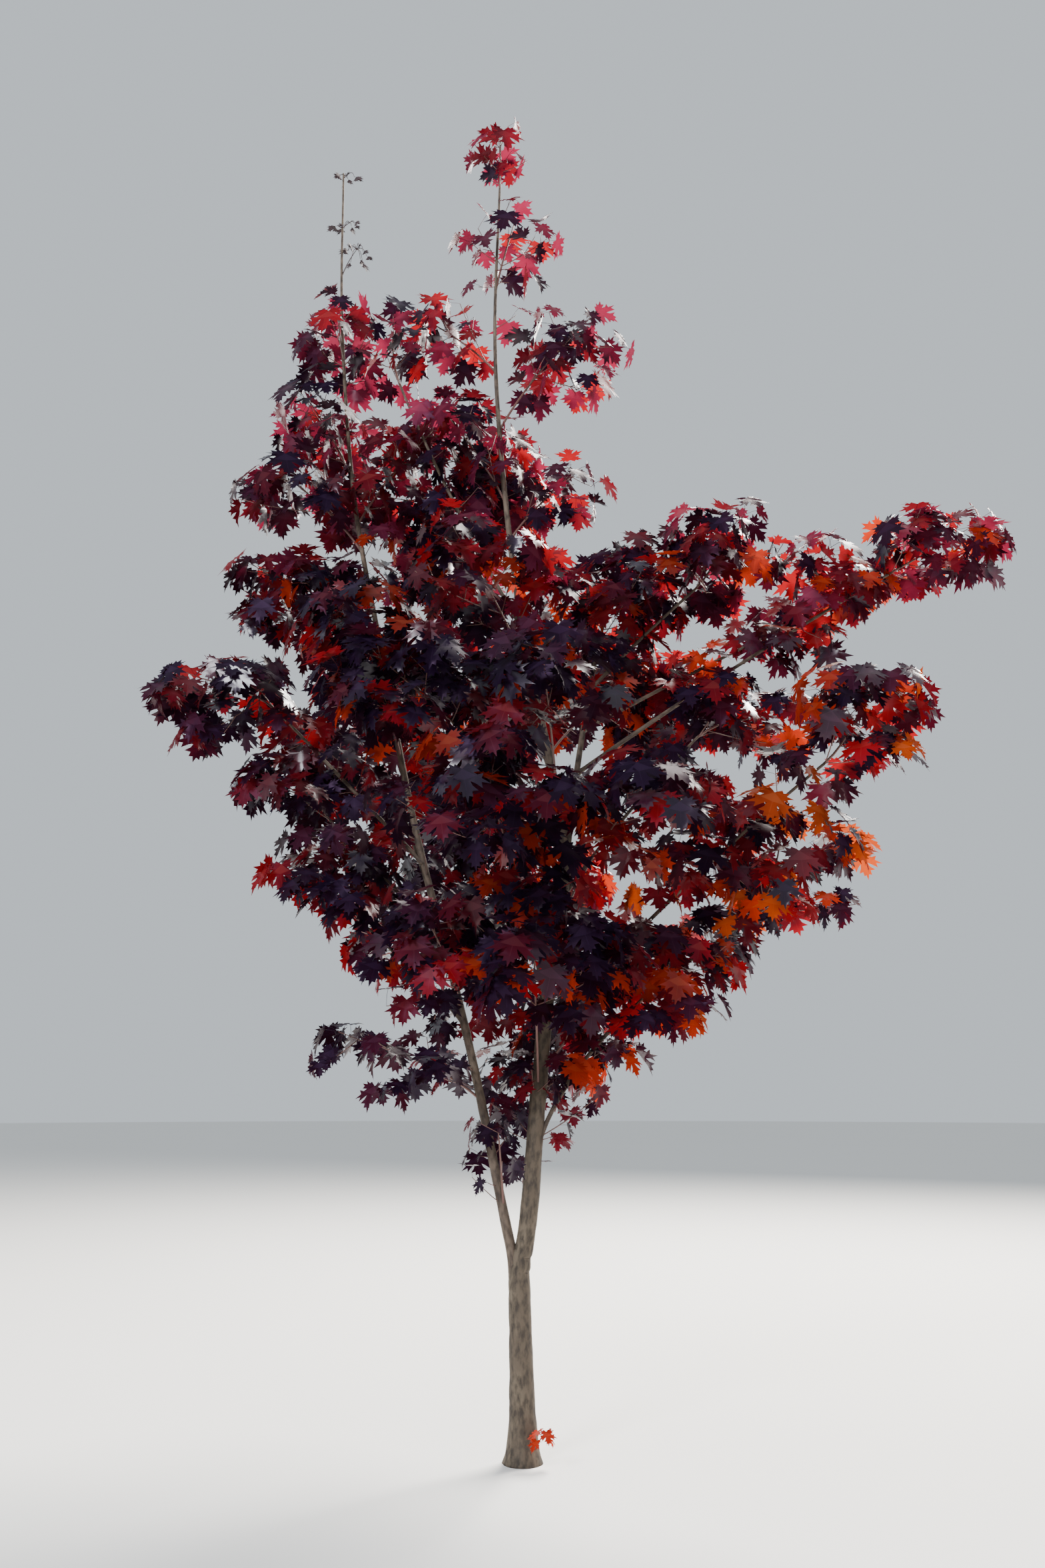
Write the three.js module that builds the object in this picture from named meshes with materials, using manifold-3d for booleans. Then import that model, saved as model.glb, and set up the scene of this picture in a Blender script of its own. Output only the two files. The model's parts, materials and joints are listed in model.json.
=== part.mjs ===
// A young purple-leaved Norway maple, 6 m tall, growing from the ground with two slender leaders.
// Millimetres, +Z up, +X to the right and +Y away from the viewer. The origin is on the flat cut
// under the trunk, at ground level.

import * as THREE from "three";
import Module from "manifold-3d";
import { mergeVertices } from "three/addons/utils/BufferGeometryUtils.js";

const wasm = await Module();
wasm.setup();

// First seed of the stream of numbers that each mass grows by
const FIRST_SEED = 201;

// Gap between a limb and what it carries, gap round a leaf or twig, and the margin by which a
// point belongs to one mass's space rather than its neighbour's
const SEAT_GAP = 0.3;
const LEAF_CLEARANCE = 4;
const SPACE_MARGIN = 0.03;

// Vertices this near are one, and edges this short are closed up
const MERGE_DISTANCE = 1e-4;
const SMALLEST_EDGE = 0.05;

// Root flare of the trunk: extra radius at the ground and the height in which it dies away
const FLARE = 26;
const FLARE_HEIGHT = 75;

// Stems that carry the crown. A course gives height, x and y of the centre line at each station,
// and foot and tip are radii.
const STEMS = [
  { name: "trunk", sides: 12, steps: 6, foot: 52, tip: 41, flare: FLARE,
    course: [[0, 0, 0], [150, 0, 0], [400, -7, 4], [700, -13, 0]] },
  { name: "main_stem", sides: 10, steps: 8, foot: 37, tip: 27,
    course: [[680, -8, 0], [900, 26, -8], [1400, 68, -14], [1900, 118, 2], [2320, 190, 12]] },
  { name: "left_leader", sides: 7, steps: 14, foot: 22, tip: 4,
    course: [[630, -16, 0], [900, -76, 6], [1600, -232, 26], [2460, -460, 14], [3230, -620, -12],
      [4000, -770, -4], [4900, -858, 10], [5740, -880, 0]] },
  { name: "upper_leader", sides: 7, steps: 11, foot: 21, tip: 5,
    course: [[2300, 187, 12], [2650, 140, 16], [3300, 10, 0], [4000, -80, -14], [4800, -130, 0],
      [5660, -112, 10]] },
];

// Boughs. Each leaves its parent at a height and runs out along a bearing (0 is +X, 90 is +Y) to
// its reach and rise. Its knee is at half the rise, and lean is how far out, as a share of reach.
const BOUGHS = [
  { name: "right_stem", from: "main_stem", at: 2240, bearing: 20, reach: 175, rise: 1070, lean: 0.35,
    foot: 16, tip: 9 },
  { name: "bough_right_outer", from: "right_stem", at: 2700, bearing: 1, reach: 1440, rise: 950,
    lean: 0.45, foot: 10, tip: 5.5 },
  { name: "bough_right_middle", from: "right_stem", at: 2900, bearing: 8, reach: 1000, rise: 560,
    lean: 0.47, foot: 9, tip: 5.5 },
  { name: "bough_right_high", from: "right_stem", at: 3090, bearing: -6, reach: 480, rise: 460,
    lean: 0.45, foot: 8, tip: 5.5 },
  { name: "bough_right_long", from: "main_stem", at: 1600, bearing: -14, reach: 1180, rise: 1060,
    lean: 0.42, foot: 10, tip: 5.5 },
  { name: "bough_right_low", from: "main_stem", at: 1080, bearing: -5, reach: 870, rise: 950,
    lean: 0.12, foot: 10, tip: 5.5 },
  { name: "bough_right_bowed", from: "main_stem", at: 2140, bearing: 12, reach: 640, rise: 760,
    lean: 0.42, foot: 9, tip: 5.5 },
  { name: "bough_left_long", from: "left_leader", at: 2300, bearing: 188, reach: 650, rise: 660,
    lean: 0.5, foot: 10, tip: 5.5 },
  { name: "bough_left_middle", from: "left_leader", at: 1980, bearing: 176, reach: 500, rise: 520,
    lean: 0.5, foot: 9, tip: 5.5 },
  { name: "bough_left_low", from: "left_leader", at: 1640, bearing: 190, reach: 430, rise: 400,
    lean: 0.45, foot: 9, tip: 5.5 },
  { name: "bough_upper_left", from: "upper_leader", at: 3350, bearing: 186, reach: 570, rise: 1180,
    lean: 0.58, foot: 9, tip: 5.5 },
  { name: "bough_back_upper", from: "upper_leader", at: 2640, bearing: 100, reach: 720, rise: 560,
    lean: 0.45, foot: 10, tip: 6 },
  { name: "bough_back_left", from: "left_leader", at: 2120, bearing: 114, reach: 620, rise: 660,
    lean: 0.45, foot: 10, tip: 6 },
  { name: "bough_back_low", from: "main_stem", at: 1500, bearing: 99, reach: 600, rise: 600,
    lean: 0.45, foot: 10, tip: 6 },
  { name: "bough_front_upper", from: "upper_leader", at: 2470, bearing: 235, reach: 760, rise: 270,
    lean: 0.45, foot: 10, tip: 6 },
  { name: "bough_front_low", from: "main_stem", at: 1720, bearing: 257, reach: 640, rise: 500,
    lean: 0.45, foot: 10, tip: 6 },
];
const BOUGH_SIDES = 6;
const BOUGH_STEP = 280;
const FEWEST_STEPS = 3;

// Masses of foliage. Each fills a space with a centre and half sizes. Its stem leaves a limb at a
// height, or carries on from the limb's tip where no height is given.
const MASSES = [
  { name: "foliage_top", from: "upper_leader", centre: [-110, 10, 5870], half: [190, 190, 205] },
  { name: "foliage_high_right", from: "upper_leader", at: 5080, centre: [-60, 20, 5330],
    half: [270, 220, 250] },
  { name: "foliage_high_left", from: "upper_leader", at: 4640, centre: [-380, 40, 4820],
    half: [270, 280, 280] },
  { name: "foliage_upper_right", from: "upper_leader", at: 4330, centre: [205, 60, 4740],
    half: [300, 290, 350] },
  { name: "foliage_side_right", from: "upper_leader", at: 3780, centre: [175, 20, 4010],
    half: [260, 250, 210] },
  { name: "foliage_inner_left", from: "upper_leader", at: 3960, centre: [-300, 0, 4260],
    half: [275, 300, 330] },
  { name: "foliage_inner_back", from: "upper_leader", at: 3880, centre: [-110, 340, 4230],
    half: [330, 345, 370] },
  { name: "foliage_left_top", from: "left_leader", at: 4520, centre: [-880, 30, 4850],
    half: [250, 270, 310] },
  { name: "foliage_left_crown", from: "bough_upper_left", centre: [-600, 0, 4730],
    half: [245, 270, 265] },
  { name: "foliage_left_upper", from: "left_leader", at: 4080, centre: [-960, 40, 4370],
    half: [290, 310, 280] },
  { name: "foliage_left_inner", from: "left_leader", at: 3860, centre: [-490, 20, 4150],
    half: [300, 310, 430] },
  { name: "foliage_left_side", from: "left_leader", at: 3720, centre: [-1010, 30, 3990],
    half: [340, 320, 225] },
  { name: "foliage_left_wing", from: "left_leader", at: 3330, centre: [-1000, 40, 3500],
    half: [410, 370, 245] },
  { name: "foliage_left_far", from: "bough_left_long", centre: [-1225, -130, 2960],
    half: [500, 395, 260] },
  { name: "foliage_left_front", from: "left_leader", at: 2760, centre: [-640, -380, 3050],
    half: [400, 370, 370] },
  { name: "foliage_left_middle", from: "bough_left_middle", centre: [-900, 50, 2580],
    half: [430, 395, 285] },
  { name: "foliage_left_low", from: "bough_left_low", centre: [-710, -90, 2140],
    half: [375, 370, 310] },
  { name: "foliage_left_bottom", from: "left_leader", at: 1330, centre: [-560, -70, 1470],
    half: [390, 320, 215] },
  { name: "foliage_low_tuft", from: "left_leader", at: 890, centre: [-90, -80, 1090],
    half: [250, 200, 210] },
  { name: "foliage_right_outer", from: "bough_right_outer", centre: [1835, 0, 3660],
    half: [395, 395, 310] },
  { name: "foliage_right_middle", from: "bough_right_middle", centre: [1350, 60, 3510],
    half: [385, 370, 315] },
  { name: "foliage_right_high", from: "bough_right_high", centre: [870, -40, 3650],
    half: [400, 370, 290] },
  { name: "foliage_right_near", from: "right_stem", centre: [425, 60, 3430],
    half: [415, 370, 440] },
  { name: "foliage_right_bowed", from: "bough_right_bowed", centre: [880, 190, 2870],
    half: [530, 395, 390] },
  { name: "foliage_right_long", from: "bough_right_long", centre: [1340, -395, 2780],
    half: [520, 425, 285] },
  { name: "foliage_right_low", from: "bough_right_low", centre: [1030, -90, 2220],
    half: [490, 400, 380] },
  { name: "foliage_right_bottom", from: "main_stem", at: 1420, centre: [470, -150, 1760],
    half: [490, 395, 345] },
  { name: "foliage_right_front", from: "main_stem", at: 1980, centre: [400, -640, 2310],
    half: [435, 395, 340] },
  { name: "foliage_front_upper", from: "bough_front_upper", centre: [-435, -750, 2785],
    half: [420, 395, 330] },
  { name: "foliage_front_middle", from: "upper_leader", at: 2600, centre: [80, -700, 2820],
    half: [420, 395, 370] },
  { name: "foliage_front_low", from: "bough_front_low", centre: [-125, -850, 2330],
    half: [455, 395, 330] },
  { name: "foliage_front_high", from: "upper_leader", at: 3080, centre: [-200, -425, 3390],
    half: [430, 380, 330] },
  { name: "foliage_back_high", from: "left_leader", at: 3150, centre: [-370, 450, 3880],
    half: [500, 465, 430] },
  { name: "foliage_back_left", from: "bough_back_left", centre: [-645, 720, 3010],
    half: [530, 550, 430] },
  { name: "foliage_back_middle", from: "bough_back_upper", centre: [-30, 860, 3290],
    half: [575, 585, 460] },
  { name: "foliage_back_right", from: "upper_leader", at: 2780, centre: [535, 690, 3160],
    half: [530, 515, 430] },
  { name: "foliage_back_low", from: "bough_back_low", centre: [-60, 720, 2310],
    half: [655, 595, 460] },
  { name: "foliage_lower_left", from: "left_leader", at: 1700, centre: [-330, -430, 1840],
    half: [380, 370, 350] },
  { name: "foliage_lower_front", from: "main_stem", at: 1360, centre: [40, -570, 1850],
    half: [455, 395, 340] },
  { name: "foliage_lower_right", from: "main_stem", at: 1130, centre: [90, 90, 1430],
    half: [370, 330, 310] },
];

// The stem of a mass: radius at foot and tip, the share of its space's half height by which it
// passes over the centre, how far past the centre it reaches, and how steeply it leaves a limb.
const STEM_RADIUS = [8, 7];
const STEM_STEPS = 3;
const STEM_HEIGHT = 0.22;
const STEM_OVERSHOOT = 0.35;
const STEM_RISE = 0.35;
const ENTRY_LEVEL = 0.9;
const ENTRY_STEP = 0.02;

// Twigs grow in opposite pairs at these places on the stretch of stem inside the space, each pair a
// quarter turn from the last. A twig stops short of the surface by a share of the leaf's length.
const PAIR_PLACES = [0.3, 0.8];
const TWIG_RADIUS = [4.5, 4];
const TWIG_SIDES = 3;
const TWIG_SPREAD = [50, 66];
const TWIG_TURN = [-20, 20];
const TWIG_LIFT = 0.12;
const TWIG_STOP = [0.3, 0.5];
const TWIG_TRIES = [1, 0.7, 0.45];
const SHORTEST_TWIG = 35;

// Where leaves grow: bands along a twig and along the stem, with the swing away from its heading
const TWIG_LEAVES = [{ band: [0.86, 0.93], swing: 0 }, { band: [0.5, 0.8], swing: 75 }];
const STEM_LEAVES = [{ band: [0.89, 0.97], swing: 0 }, { band: [0.47, 0.55], swing: 90 }];

// Leaf: length as a share of the mean half size of its space, thickness at the middle as a share
// of the length, and half its outline as shares of the length, from the root along one side to the
// tip: end of the stalk, side lobe, notch.
const LEAF_SHARE = 1.2;
const LEAF_THICKNESS = 0.03;
const LEAF_MIDDLE = 0.42;
const LEAF_SIDE = [[0.16, 0.025], [0.46, 0.56], [0.62, 0.25]];
const LEAF_SIZES = [0.86, 1.1];
const LEAF_DROOP = [35, 85];
const LEAF_ROLL = [-25, 25];

// Chances a leaf gets to find room: each turns it further from its own way and makes it smaller
const LEAF_TRIES = 60;
const FIRST_STRAY = 20;
const LAST_STRAY = 180;
const LAST_SHRINK = 0.3;

const BARK = { color: 0x6b6259, roughness: 0.85, metalness: 0 };
const FOLIAGE = { color: 0x4a1520, roughness: 0.5, metalness: 0 };

const UP = new THREE.Vector3(0, 0, 1);
const AWAY = new THREE.Vector3(0, 1, 0);
const radians = THREE.MathUtils.degToRad;
const mix = THREE.MathUtils.lerp;

// A repeatable stream of numbers from 0 to 1
function seeded(seed) {
  let state = seed >>> 0;
  return () => {
    state = (state + 0x6d2b79f5) >>> 0;
    let word = Math.imul(state ^ (state >>> 15), state | 1);
    word ^= word + Math.imul(word ^ (word >>> 7), word | 61);
    return ((word ^ (word >>> 14)) >>> 0) / 4294967296;
  };
}

function between(random, [low, high]) {
  return mix(low, high, random());
}

function solidFrom(geometry) {
  geometry.deleteAttribute("normal");
  geometry.deleteAttribute("uv");
  const merged = mergeVertices(geometry, MERGE_DISTANCE);
  const mesh = new wasm.Mesh({
    numProp: 3,
    vertProperties: new Float32Array(merged.attributes.position.array),
    triVerts: new Uint32Array(merged.index.array),
  });
  return new wasm.Manifold(mesh);
}

// A closed tube along a limb's curve, with its own radius. Grow makes it larger all round.
function tube({ curve, radiusAt, sides, steps }, grow = 0) {
  const geometry = new THREE.CylinderGeometry(1, 1, 1, sides, steps);
  const position = geometry.attributes.position;
  const run = curve.getPoint(1).sub(curve.getPoint(0));
  const upright = Math.hypot(run.x, run.y) < run.length() / 5;
  const side = upright ? AWAY : UP.clone().cross(run).normalize();
  for (let i = 0; i < position.count; i++) {
    const height = position.getY(i);
    const t = height + 0.5;
    const along = curve.getTangent(t);
    const across = side.clone().cross(along).normalize();
    const third = across.clone().cross(along);
    const radius = radiusAt(t) + grow;
    const point = curve.getPoint(t)
      .addScaledVector(across, position.getX(i) * radius)
      .addScaledVector(third, position.getZ(i) * radius);
    if (Math.abs(height) === 0.5) point.addScaledVector(along, Math.sign(height) * grow);
    position.setXYZ(i, point.x, point.y, point.z);
  }
  return solidFrom(geometry);
}

// Where a limb's centre line passes a height, as a share of its course, by halving
function shareAtHeight(curve, height) {
  let low = 0;
  let high = 1;
  for (let halving = 0; halving < 30; halving++) {
    const middle = (low + high) / 2;
    if (curve.getPoint(middle).z < height) low = middle;
    else high = middle;
  }
  return low;
}

function stemLimb({ course, foot, tip, flare = 0, sides, steps }) {
  const stations = course.map(([z, x, y]) => new THREE.Vector3(x, y, z));
  const curve = new THREE.CatmullRomCurve3(stations, false, "catmullrom", 0.5);
  const length = curve.getLength();
  const radiusAt = (t) => mix(foot, tip, t) + flare * Math.exp((-t * length) / FLARE_HEIGHT);
  return { curve, radiusAt, sides, steps };
}

function boughLimb({ from, at, bearing, reach, rise, lean, foot, tip }, limbs) {
  const parent = limbs.get(from).curve;
  const start = parent.getPoint(shareAtHeight(parent, at));
  const out = new THREE.Vector3(Math.cos(radians(bearing)), Math.sin(radians(bearing)), 0);
  const knee = start.clone().addScaledVector(out, reach * lean).addScaledVector(UP, rise / 2);
  const end = start.clone().addScaledVector(out, reach).addScaledVector(UP, rise);
  const curve = new THREE.QuadraticBezierCurve3(start, knee, end);
  const steps = Math.max(FEWEST_STEPS, Math.round(curve.getLength() / BOUGH_STEP));
  return { curve, radiusAt: (t) => mix(foot, tip, t), sides: BOUGH_SIDES, steps };
}

// How far out in a mass's space a point lies: 0 at the centre and 1 on its surface
function level({ centre, half }, point) {
  return point.clone().sub(new THREE.Vector3(...centre)).divide(new THREE.Vector3(...half)).length();
}

// The stem of a mass: on from its limb's tip, or out of the limb's side at a height
function massStem(mass, limbs) {
  const { from, at, centre, half } = mass;
  const limb = limbs.get(from).curve;
  const share = at === undefined ? 1 : shareAtHeight(limb, at);
  const start = limb.getPoint(share);
  const over = new THREE.Vector3(...centre).addScaledVector(UP, half[2] * STEM_HEIGHT);
  const run = over.clone().sub(start);
  const heading = run.clone().normalize();
  const reach = 1 / heading.clone().divide(new THREE.Vector3(...half)).length();
  const end = over.addScaledVector(heading, reach * STEM_OVERSHOOT);
  const first = heading.clone().addScaledVector(UP, STEM_RISE).normalize();
  if (at === undefined) {
    first.copy(limb.getTangent(1));
    start.addScaledVector(first, SEAT_GAP);
  }
  const knee = start.clone().addScaledVector(first, run.length() / 2);
  const curve = new THREE.QuadraticBezierCurve3(start, knee, end);
  let entry = 0;
  while (level(mass, curve.getPoint(entry)) > ENTRY_LEVEL) entry += ENTRY_STEP;
  const radiusAt = (t) => mix(STEM_RADIUS[0], STEM_RADIUS[1], t);
  return { curve, radiusAt, sides: TWIG_SIDES, steps: STEM_STEPS, entry };
}

// Whether a point lies in a mass's space, and further into it than into any near mass's
function ownsPoint(mass, near, point) {
  const own = level(mass, point);
  return own < 1 && near.every((other) => level(other, point) > own + SPACE_MARGIN);
}

function isClear(solid, others) {
  return !others.some((other) => other.minGap(solid, LEAF_CLEARANCE) < LEAF_CLEARANCE);
}

function meanLeaf({ half }) {
  return Math.cbrt(half[0] * half[1] * half[2]) * LEAF_SHARE;
}

// A leaf's outline, root first, and its middle, from its root towards its tip
function placeLeaf(root, tipward, roll, length) {
  const across = UP.clone().cross(tipward).normalize().applyAxisAngle(tipward, roll);
  const spot = ([x, y]) => root.clone()
    .addScaledVector(tipward, x * length)
    .addScaledVector(across, y * length);
  const right = LEAF_SIDE.map(([x, y]) => [x, -y]);
  const left = LEAF_SIDE.toReversed();
  const outline = [[0, 0], ...right, [1, 0], ...left].map(spot);
  return { outline, middle: spot([LEAF_MIDDLE, 0]), face: tipward.clone().cross(across), length };
}

// A leaf as a flat closed body: its outline, with a low point over and under its middle
function leafSolid({ outline, middle, face, length }) {
  const depth = (length * LEAF_THICKNESS) / 2;
  const top = middle.clone().addScaledVector(face, depth);
  const bottom = middle.clone().addScaledVector(face, -depth);
  const geometry = new THREE.BufferGeometry().setFromPoints([...outline, top, bottom]);
  const count = outline.length;
  geometry.setIndex(outline.flatMap((_, i) => {
    const next = (i + 1) % count;
    return [i, next, count, next, i, count + 1];
  }));
  return solidFrom(geometry);
}

// Distance from a point inside a mass's space to its surface along a direction
function roomAlong({ centre, half }, point, direction) {
  const size = new THREE.Vector3(...half);
  const from = point.clone().sub(new THREE.Vector3(...centre)).divide(size);
  const step = direction.clone().divide(size);
  const a = step.dot(step);
  const b = from.dot(step);
  const c = from.dot(from) - 1;
  return (-b + Math.sqrt(b * b - a * c)) / a;
}

// The twigs that a mass's stem would grow, before they are fitted to its space
function planTwigs(mass, stem, random) {
  return PAIR_PLACES.flatMap((place, pair) => {
    const share = mix(stem.entry, 1, place);
    const start = stem.curve.getPoint(share);
    const along = stem.curve.getTangent(share);
    const across = along.clone().cross(UP).normalize();
    const turn = pair * 90 + between(random, TWIG_TURN);
    return [0, 180].map((side) => {
      const out = across.clone().applyAxisAngle(along, radians(turn + side));
      const spread = radians(between(random, TWIG_SPREAD));
      const heading = along.clone().multiplyScalar(Math.cos(spread))
        .addScaledVector(out, Math.sin(spread)).addScaledVector(UP, TWIG_LIFT).normalize();
      const stop = meanLeaf(mass) * between(random, TWIG_STOP);
      return { start, heading, length: roomAlong(mass, start, heading) - stop };
    });
  }).filter(({ length }) => length > SHORTEST_TWIG);
}

// A twig as long as it can be without leaving its space or touching a limb, or nothing
function fitTwig(mass, { start, heading, length }, near, obstacles) {
  for (const share of TWIG_TRIES) {
    const tip = start.clone().addScaledVector(heading, length * share);
    const curve = new THREE.LineCurve3(start, tip);
    const radiusAt = (t) => mix(TWIG_RADIUS[0], TWIG_RADIUS[1], t);
    const solid = tube({ curve, radiusAt, sides: TWIG_SIDES, steps: 1 });
    if (ownsPoint(mass, near, tip) && isClear(solid, obstacles)) return { curve, heading, solid };
  }
  return null;
}

// One leaf on a shoot. Of the chances that find room, the one that lies furthest from the leaves
// grown so far is kept. The swing turns it away from the way that the shoot is heading.
function growLeaf(mass, { curve, heading, band, swing }, near, obstacles, leaves, random) {
  const others = [...obstacles, ...leaves.map(({ solid }) => solid)];
  let best = null;
  for (let attempt = 0; attempt < LEAF_TRIES; attempt++) {
    const worn = attempt / LEAF_TRIES;
    const root = curve.getPoint(between(random, band));
    const outward = root.clone().sub(new THREE.Vector3(...mass.centre)).normalize();
    const stray = mix(FIRST_STRAY, LAST_STRAY, worn) * between(random, [-1, 1]);
    const flat = heading.clone().add(outward).setZ(0).normalize();
    flat.applyAxisAngle(UP, radians(swing + stray));
    const droop = radians(between(random, LEAF_DROOP));
    const tipward = flat.multiplyScalar(Math.cos(droop)).addScaledVector(UP, -Math.sin(droop));
    const roll = radians(between(random, LEAF_ROLL));
    const length = meanLeaf(mass) * between(random, LEAF_SIZES) * (1 - LAST_SHRINK * worn);
    const leaf = placeLeaf(root, tipward, roll, length);
    const apart = Math.min(Infinity, ...leaves.map(({ middle }) => middle.distanceTo(leaf.middle)));
    const better = best === null || apart > best.apart;
    if (!better || !leaf.outline.slice(1).every((point) => ownsPoint(mass, near, point))) continue;
    const solid = leafSolid(leaf);
    if (isClear(solid, others)) best = { solid, middle: leaf.middle, apart };
  }
  return best;
}

// One mass: its stem, and the twigs and leaves that find room in its space
function growMass(mass, seed, stem, near, obstacles) {
  const random = seeded(seed);
  const twigs = planTwigs(mass, stem, random)
    .map((plan) => fitTwig(mass, plan, near, obstacles))
    .filter((twig) => twig !== null);
  const shoots = twigs.flatMap((twig) => {
    const hand = random() < 0.5 ? 1 : -1;
    return TWIG_LEAVES.map(({ band, swing }) => ({ ...twig, band, swing: swing * hand }));
  });
  for (const { band, swing } of STEM_LEAVES) {
    const places = band.map((place) => mix(stem.entry, 1, place));
    shoots.push({ curve: stem.curve, heading: stem.curve.getTangent(places[0]), band: places, swing });
  }
  const leaves = [];
  for (const shoot of shoots) {
    const leaf = growLeaf(mass, shoot, near, obstacles, leaves, random);
    if (leaf !== null) leaves.push(leaf);
  }
  return wasm.Manifold.union([tube(stem), ...[...twigs, ...leaves].map(({ solid }) => solid)]);
}

function boxesMeet(a, b) {
  const [one, two] = [a.boundingBox(), b.boundingBox()];
  return [0, 1, 2].every((axis) => one.min[axis] <= two.max[axis] && two.min[axis] <= one.max[axis]);
}

// A solid cut clear of others, without the scraps and sealed hollows that this may leave
function clearOf(solid, others) {
  const cut = others.filter((other) => boxesMeet(solid, other))
    .reduce((rest, other) => rest.subtract(other), solid);
  const parts = cut.decompose();
  const whole = parts.reduce((best, part) => (part.volume() > best.volume() ? part : best));
  return whole.simplify(SMALLEST_EDGE);
}

function meshOf(name, solid, finish) {
  const { vertProperties, triVerts } = solid.getMesh();
  const geometry = new THREE.BufferGeometry();
  geometry.setAttribute("position", new THREE.BufferAttribute(vertProperties, 3));
  geometry.setIndex(new THREE.BufferAttribute(triVerts, 1));
  geometry.computeVertexNormals();
  const mesh = new THREE.Mesh(geometry, new THREE.MeshStandardMaterial(finish));
  mesh.name = name;
  return mesh;
}

const tree = new THREE.Group();

const limbs = new Map();
for (const row of STEMS) limbs.set(row.name, stemLimb(row));
for (const row of BOUGHS) limbs.set(row.name, boughLimb(row, limbs));

const grownLimbs = [];
for (const [name, limb] of limbs) {
  tree.add(meshOf(name, clearOf(tube(limb), grownLimbs), BARK));
  grownLimbs.push(tube(limb, SEAT_GAP));
}

const massStems = MASSES.map((mass) => massStem(mass, limbs));
const stemSolids = massStems.map((stem) => tube(stem));
const grownMasses = [];
MASSES.forEach((mass, number) => {
  const middle = new THREE.Vector3(...mass.centre);
  const near = MASSES.filter((other) => other !== mass &&
    new THREE.Vector3(...other.centre).distanceTo(middle) <
      Math.max(...mass.half) + Math.max(...other.half));
  const space = new THREE.BoxGeometry(...mass.half.map((half) => half * 2)).translate(...mass.centre);
  const box = solidFrom(space);
  const obstacles = [...grownLimbs, ...stemSolids.toSpliced(number, 1), ...grownMasses]
    .filter((other) => boxesMeet(box, other));
  const grown = growMass(mass, FIRST_SEED + number, massStems[number], near, obstacles);
  const solid = clearOf(grown, grownLimbs);
  grownMasses.push(solid);
  tree.add(meshOf(mass.name, solid, FOLIAGE));
});

export default tree;
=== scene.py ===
"""A young purple-leaved Norway maple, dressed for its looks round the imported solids.

Metres in the row's frame: +X to the right, +Y away from the viewer and +Z up, with the origin under
the trunk at ground level. The limbs and the rule that the foliage grows by are those of the solids,
carried on to finer twigs and to leaves in their true outline.
"""

import itertools
import json
import logging
import math
from collections.abc import Sequence
from dataclasses import dataclass, field
from enum import Enum

import bpy
import numpy as np
from bpy.types import Collection, ID, Material, Mesh, Node, NodeSocket, NodeTree, Object
from mathutils.geometry import delaunay_2d_cdt
from mathutils.kdtree import KDTree
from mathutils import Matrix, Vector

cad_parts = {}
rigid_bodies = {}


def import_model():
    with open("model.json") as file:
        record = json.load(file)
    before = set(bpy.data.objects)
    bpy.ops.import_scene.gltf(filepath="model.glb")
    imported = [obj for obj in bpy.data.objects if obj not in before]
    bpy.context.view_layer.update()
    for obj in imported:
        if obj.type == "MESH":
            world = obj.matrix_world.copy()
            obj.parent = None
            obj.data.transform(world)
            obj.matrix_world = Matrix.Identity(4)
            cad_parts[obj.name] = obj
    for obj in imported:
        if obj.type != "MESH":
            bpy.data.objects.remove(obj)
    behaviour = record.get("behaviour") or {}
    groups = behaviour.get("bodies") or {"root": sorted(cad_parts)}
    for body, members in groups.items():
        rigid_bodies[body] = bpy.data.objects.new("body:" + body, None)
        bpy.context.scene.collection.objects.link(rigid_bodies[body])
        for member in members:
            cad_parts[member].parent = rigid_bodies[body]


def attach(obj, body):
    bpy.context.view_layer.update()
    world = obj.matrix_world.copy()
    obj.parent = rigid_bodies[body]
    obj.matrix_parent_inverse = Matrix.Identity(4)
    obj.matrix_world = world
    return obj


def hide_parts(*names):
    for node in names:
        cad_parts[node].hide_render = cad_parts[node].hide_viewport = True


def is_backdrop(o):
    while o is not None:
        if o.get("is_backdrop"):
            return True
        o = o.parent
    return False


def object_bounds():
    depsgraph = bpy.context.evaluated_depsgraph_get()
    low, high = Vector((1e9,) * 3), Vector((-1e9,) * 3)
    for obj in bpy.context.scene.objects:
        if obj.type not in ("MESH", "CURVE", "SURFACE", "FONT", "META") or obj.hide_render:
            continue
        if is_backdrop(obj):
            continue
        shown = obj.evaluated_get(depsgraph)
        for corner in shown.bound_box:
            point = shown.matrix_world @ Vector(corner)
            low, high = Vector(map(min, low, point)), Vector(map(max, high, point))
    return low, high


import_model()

LOG = logging.getLogger("maple")
BODY = "root"
MM = 0.001
TINY = 1e-6
LEAST = 1e-9
UP = np.array((0.0, 0.0, 1.0))
LEFT = np.array((0.0, 1.0, 0.0))
LEAF_SLACK = np.array((0.015, 0.015, 0.003))

Array = np.ndarray
Point = tuple[float, float, float]
Colour = tuple[float, float, float]
Range = tuple[float, float]


@dataclass(frozen=True)
class Stem:
    """A stem that carries the crown, in millimetres.

    Attributes:
        name: Its name.
        foot: Its radius at the foot.
        tip: Its radius at the tip.
        course: The height, x and y of each station.
        flare: How much wider its foot is at the ground.
    """

    name: str
    foot: float
    tip: float
    course: tuple[Point, ...]
    flare: float = 0.0


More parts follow.
